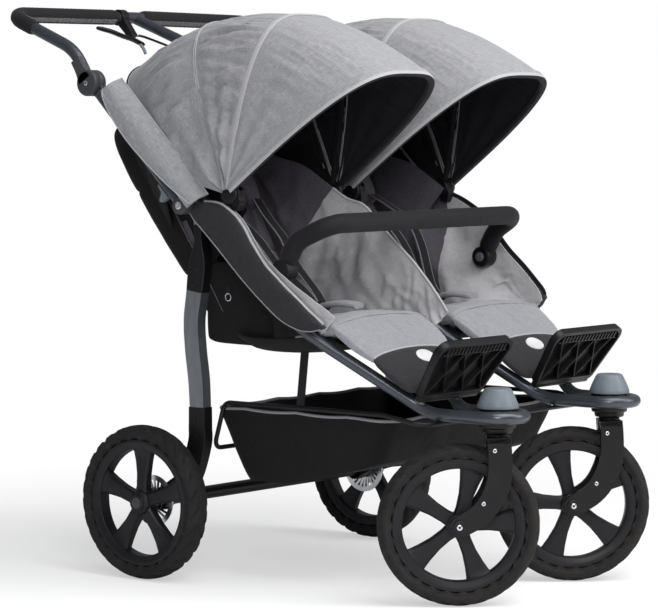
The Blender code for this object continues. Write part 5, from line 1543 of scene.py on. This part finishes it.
def add_strip(side, name, near, far, steps, thickness, gather, seed, look,
              follow=None):
    """Closed cloth between two lines of points, slack by gather.

    follow is a point held by the chassis and a point held by the backrest; when it is given, the strip
    is made without a CAD body and its placement is baked into its mesh. Its two points are not used.
    them; even makes the bend even from line to line.
    """
    def rows(lift):
        grid = []
        for k, (a, b) in enumerate(zip(near, far)):
            line = []
            for f in shares(steps):
                slack = gather * math.sin(math.pi * f) * rough(k * 0.35, f * 2.0, seed)
                line.append(a.lerp(b, f) + Vector((0, slack - lift * 0.6, slack * 0.6 + lift)))
            grid.append(line)
        return grid

    top = rows(thickness / 2)
    shape, _ = shell(top, rows(-thickness / 2))
    item = piece(f"{side}_{name}", shape, look, None if follow else "chassis", sharp=SOFT_EDGE)
    if follow:
        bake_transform(item)
    spans(top)


def add_gussets(side, s):
    """Cloth beside the backrest, behind and beside the seat, and the dark skirt under the band."""
    marks = []
    for f in shares(30):
        length = 0.030 + 0.300 * f
        out = 0.010 + 0.45 * looked_up(length, BACK_STATIONS, 3)
        marks.append(RECLINE_HINGE + BACK_ALONG * length + BACK_FRONT * out)
    for name, wall_x, back_x in BACK_GAPS:
        near, far = ([p + sideways(s * x) for p in marks] for x in (wall_x, back_x))
        add_strip(side, f"{name}_back_gusset", near, far, 6, 0.0016, 0.010, 31.0 + s, BACK_CLOTH,
                  (near[15], far[15]))
    near, far = ([p + sideways(s * SEAT_X + x) for p in smooth(HINGE_LINE, 5)] for x in (-0.104, 0.104))
    follow = (Vector((s * SEAT_X, 0.505, 0.484)), Vector((s * SEAT_X, 0.549, 0.526)))
    add_strip(side, "seat_hinge_cloth", near, far, 24, 0.0020, 0.004, 37.0 + s, BACK_CLOTH,
              follow)
    near, far = [], []
    for f in shares(20):
        y = 0.300 + 0.270 * f
        top, half = (looked_up(y, SEAT_STATIONS, column) for column in (1, 2))
        near.append(Vector((s * 0.0460, y, top - 0.012)))
        far.append(Vector((s * (SEAT_X - half + 0.012), y, top - 0.020)))
    add_strip(side, "seat_edge_cloth", near, far, 5, 0.0020, 0.004, 41.0 + s, SEAT_CLOTH)
    near = [by_tube(s, 0.3222, 0.245 + 0.125 * f, -0.006) for f in shares(16)]
    far = [Vector((s * 0.3150, p.y, between(p.y, (0.320, 0.345, 0.430), (0.487, 0.484, 0.478))))
           for p in near]
    add_strip(side, "seat_skirt", near, far, 6, 0.0020, 0.003, 43.0 + s, BLACK_CLOTH)


def add_rear_curtain(side, s):
    """Black cloth from the canopy's back edge to the backrest."""
    middle = RECLINE_HINGE + sideways(s * SEAT_X) - BACK_FRONT * 0.004
    edge = [line[-1] for line in canopy_grid(s, 2, 60, 4, -0.0030)][6:-6]
    outline = smooth([middle + BACK_ALONG * length + sideways(a) for length, a in CURTAIN_OUTLINE])
    outline = stretch(outline, 0.0, lengths(outline)[-1], len(edge) - 1)
    half = len(edge) // 2
    add_strip(side, "rear_curtain", edge, outline, 10, 0.0018, 0.012, 47.0 + s, BLACK_CLOTH,
              (edge[half], outline[half]))


# Harness

STRAP_SLACK = {"right": 0.040, "left": 0.075}
BUCKLE = Vector((0.0, 0.418, 0.530))


def add_strap(name, path, normals, width):
    """Webbing with two pale woven edges, made without a CAD body."""
    strap = piece(name, ribbon(path, normals, width, 0.0022), WEBBING, None)
    ways = strap_ways(path, normals)
    cords = [tube([centre + across * half for centre, (across, _) in zip(path, ways)], 0.0014, 6)
             for half in (width / 2, -width / 2)]
    edges = piece(f"{name}_edges", merge(*cords), STRAP_EDGE, None)
    for item in (strap, edges):
        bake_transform(item)


def bulge(f, power):
    """Width of a rounded pad along its length, one in the middle."""
    return math.sin(math.pi * min(max(f, 0.02), 0.98)) ** power


def flat_pad(centres, widths, thickness, crown, steps):
    """Low crowned pad from section centres and half widths."""
    rings = []
    for centre, wide in zip(centres, widths):
        section = cushion_ring(wide, thickness, crown, steps=steps)
        rings.append([centre + Vector((a, 0, b)) for a, b, _ in section])
    return skin(rings)


def add_harness(side, s):
    """Shoulder pads with their loose straps, the crotch pad and the buckle."""
    hinge = RECLINE_HINGE + sideways(s * SEAT_X)
    marks = [row[0] for row in BACK_STATIONS]
    depths = [row[2] / 2 + row[3] + 0.006 for row in BACK_STATIONS]

    def on_back(across, length, out):
        depth = between(length, marks, depths) + out
        return hinge + sideways(across) + BACK_ALONG * length + BACK_FRONT * depth

    buckle = BUCKLE + sideways(s * SEAT_X)
    loose = STRAP_SLACK[side]
    for index, across in ((1, -0.058), (2, 0.058)):
        rings = []
        for f in shares(24):
            ring = cushion_ring(0.0270 * bulge(f, 0.25), 0.016, 0.003, steps=32)
            rings.append([on_back(across * (1 - 0.10 * f) + a, 0.385 - 0.165 * f, 0.010 + b)
                          for a, b, _ in ring])
        pad = piece(f"{side}_shoulder_pad_{index}", skin(rings), BACK_CLOTH, f"{side}_back",
                    sharp=SOFT_EDGE)
        path = smooth((on_back(across * 0.90, 0.228, 0.022),
                       on_back(across * 0.80, 0.180, 0.012 + 0.6 * loose),
                       on_back(across * 0.66, 0.120, 0.020 + loose),
                       on_back(across * 0.48, 0.060, 0.034 + loose),
                       buckle + Vector((across * 0.28, 0.024, 0.032)),
                       buckle + Vector((across * 0.20, 0.0, 0.006))), 6)
        add_strap(f"{side}_shoulder_strap_{index}", path, [BACK_FRONT] * len(path), 0.024)
    centres = [Vector((s * SEAT_X, 0.322 + 0.092 * f, 0.5385 - 0.006 * f + 0.005 * math.sin(math.pi * f)))
               for f in shares(20)]
    widths = [0.026 * bulge(f * 0.92 + 0.04, 0.3) for f in shares(20)]
    tab = piece(f"{side}_crotch_pad", flat_pad(centres, widths, 0.010, 0.002, 32), SEAT_CLOTH, "chassis",
                sharp=SOFT_EDGE)
    centres = [buckle + Vector((0, -0.016 + 0.040 * f, 0.004)) for f in shares(12)]
    widths = [0.021 * bulge(0.10 + 0.80 * f, 0.35) for f in shares(12)]
    piece(f"{side}_buckle", flat_pad(centres, widths, 0.014, 0.002, 28), BLACK_PLASTIC, "chassis",
          sharp=50.0)


def add_patch(side, s):
    """Plain oval badge on the calf apron."""
    centre = Vector((s * 0.179, 0.170, 0.4515))
    slope, out = Vector((0, 0.752, 0.659)), Vector((0, -0.659, 0.752))
    rings = []
    for scale, lift in ((0.02, 0.0022), (0.80, 0.0022), (0.95, 0.0016), (1.0, 0.0002), (0.98, -0.004)):
        rings.append([centre + sideways(0.0255 * scale * a) + slope * (0.0165 * scale * b) + out * lift
                      for a, b in ring_points(1.0, 40)])
    piece(f"{side}_apron_patch", skin(rings), PATCH, "chassis")


# Under the seats

# Share of the height, front, back, half width
BASKET_LEVELS = ((0.0, 0.216, 0.545, 0.262), (0.18, 0.208, 0.556, 0.269), (0.60, 0.190, 0.584, 0.2735),
                 (1.0, 0.176, 0.610, 0.2750))
BASKET_CORNER = 0.03
BASKET_TOP = 0.336


def basket_floor(y):
    return 0.198 + 0.052 * max(0.0, (0.46 - y) / 0.24) ** 1.4


def basket_outline(half, front, back):
    """Rounded rectangle with even points along its sides."""
    r = BASKET_CORNER
    centres = ((half - r, front + r), (half - r, back - r), (r - half, back - r), (r - half, front + r))
    arcs = []
    for k, (x, y) in enumerate(centres):
        turns = [math.radians(90 * (k - 1 + f)) for f in shares(8)]
        arcs.append([(x + r * math.cos(t), y + r * math.sin(t)) for t in turns])
    ring = []
    for k, arc in enumerate(arcs):
        (x0, y0), (x1, y1) = arc[-1], arcs[(k + 1) % 4][0]
        ring += arc + [(x0 + (x1 - x0) * f, y0 + (y1 - y0) * f) for f in shares(30 if k % 2 else 15)[1:-1]]
    return ring


def basket_tray(inset):
    """Rings from the middle of the floor out to the sides and up to the rim, with sag and drape."""
    walls = []
    for f, front, back, half in curve(BASKET_LEVELS, 5):
        ring = []
        for x, y in basket_outline(half - inset, front + inset, back - inset):
            z = (basket_floor(y) + inset) * (1 - f) + BASKET_TOP * f
            drape = 0.0045 * rough(x * 13, y * 13, 1.0 + f) + 0.0016 * rough(x * 42, y * 42, f * 2.0)
            droop = -0.0035 * f ** 3 * abs(math.sin((x + y) * 24.0))
            out = Vector((x / 0.275, (y - 0.39) / 0.22, 0)).normalized()
            ring.append(Vector((x, y, z + droop)) + out * (math.sin(math.pi * f) ** 0.8 * drape))
        walls.append(ring)
    middle = Vector((0.0, 0.385, 0.0))
    floor = []
    for scale in (0.0, 0.34, 0.67):
        ring = []
        for p in walls[0]:
            q = middle + (p - middle) * max(scale, 0.02)
            sag = 0.006 * (1 - scale) * (0.4 + rough(q.x * 9, q.y * 9, 4.0))
            ring.append(Vector((q.x, q.y, basket_floor(q.y) + inset + max(sag, -0.001))))
        floor.append(ring)
    return floor + walls


def add_basket():
    """Open cloth tray hung on its rod: a thin shell with sagging sides and a bound rim."""
    outer, inner = basket_tray(0.0), basket_tray(0.0030)
    item = piece("basket_cloth", skin(outer + inner[::-1]), BLACK_CLOTH, "chassis",
                 ("basket",), SOFT_EDGE)
    rim = [(a + b) / 2 + Vector((0, 0, 0.001)) for a, b in zip(outer[-1], inner[-1])]
    piece("basket_rim", tube(rim, 0.0030, 10, closed=True), STRAP_EDGE, "chassis")


def add_sling(side, s):
    """Black cloth that carries the seat between its tubes, and a strap from it to the basket's rod."""
    marks = ((0.292, 0.468), (0.320, 0.460), (0.370, 0.453), (0.430, 0.449), (0.490, 0.450),
             (0.518, 0.458))
    half_width, steps = 0.131, 24

    def rows(drop):
        grid = []
        for y, low in curve(marks, 6):
            line = []
            for k in range(steps + 1):
                a = -1 + 2 * k / steps
                x = half_width * math.copysign(abs(a) ** 0.9, a)
                line.append(Vector((s * SEAT_X + x, y, low + 0.030 * abs(a) ** 4 - drop)))
            grid.append(line)
        return grid

    shape, _ = shell(rows(0.0), rows(0.0020))
    sling = piece(f"{side}_sling", shape, BLACK_CLOTH, "chassis", sharp=SOFT_EDGE)
    top, low = Vector((s * 0.272, 0.384, 0.4600)), Vector((s * 0.2815, 0.388, 0.352))
    line = stretch([top, low], 0.0, (low - top).length, 8)
    piece(f"{side}_basket_strap", ribbon(line, [sideways(s)] * len(line), 0.018, 0.0024), WEBBING,
          "chassis")


# Build

PER_SIDE = (add_seat_tube, add_fold_release, add_swivel, add_fork, add_wheels, add_footrest,
            add_canopy_cloth, add_canopy_edges, add_canopy_hinges, add_flap, add_seat_pad, add_backrest,
            add_outer_panel, add_inner_panel, add_side_bag, add_sling, add_gussets, add_rear_curtain,
            add_harness, add_patch)
SHARED = (add_push_frame, add_handle, add_hand_brake, add_rear_frame, add_basket_frame, add_basket,
          add_bumper)

add_stage()
for side_name, sign in SIDES:
    for add_part in PER_SIDE:
        add_part(side_name, sign)
for add_part in SHARED:
    add_part()
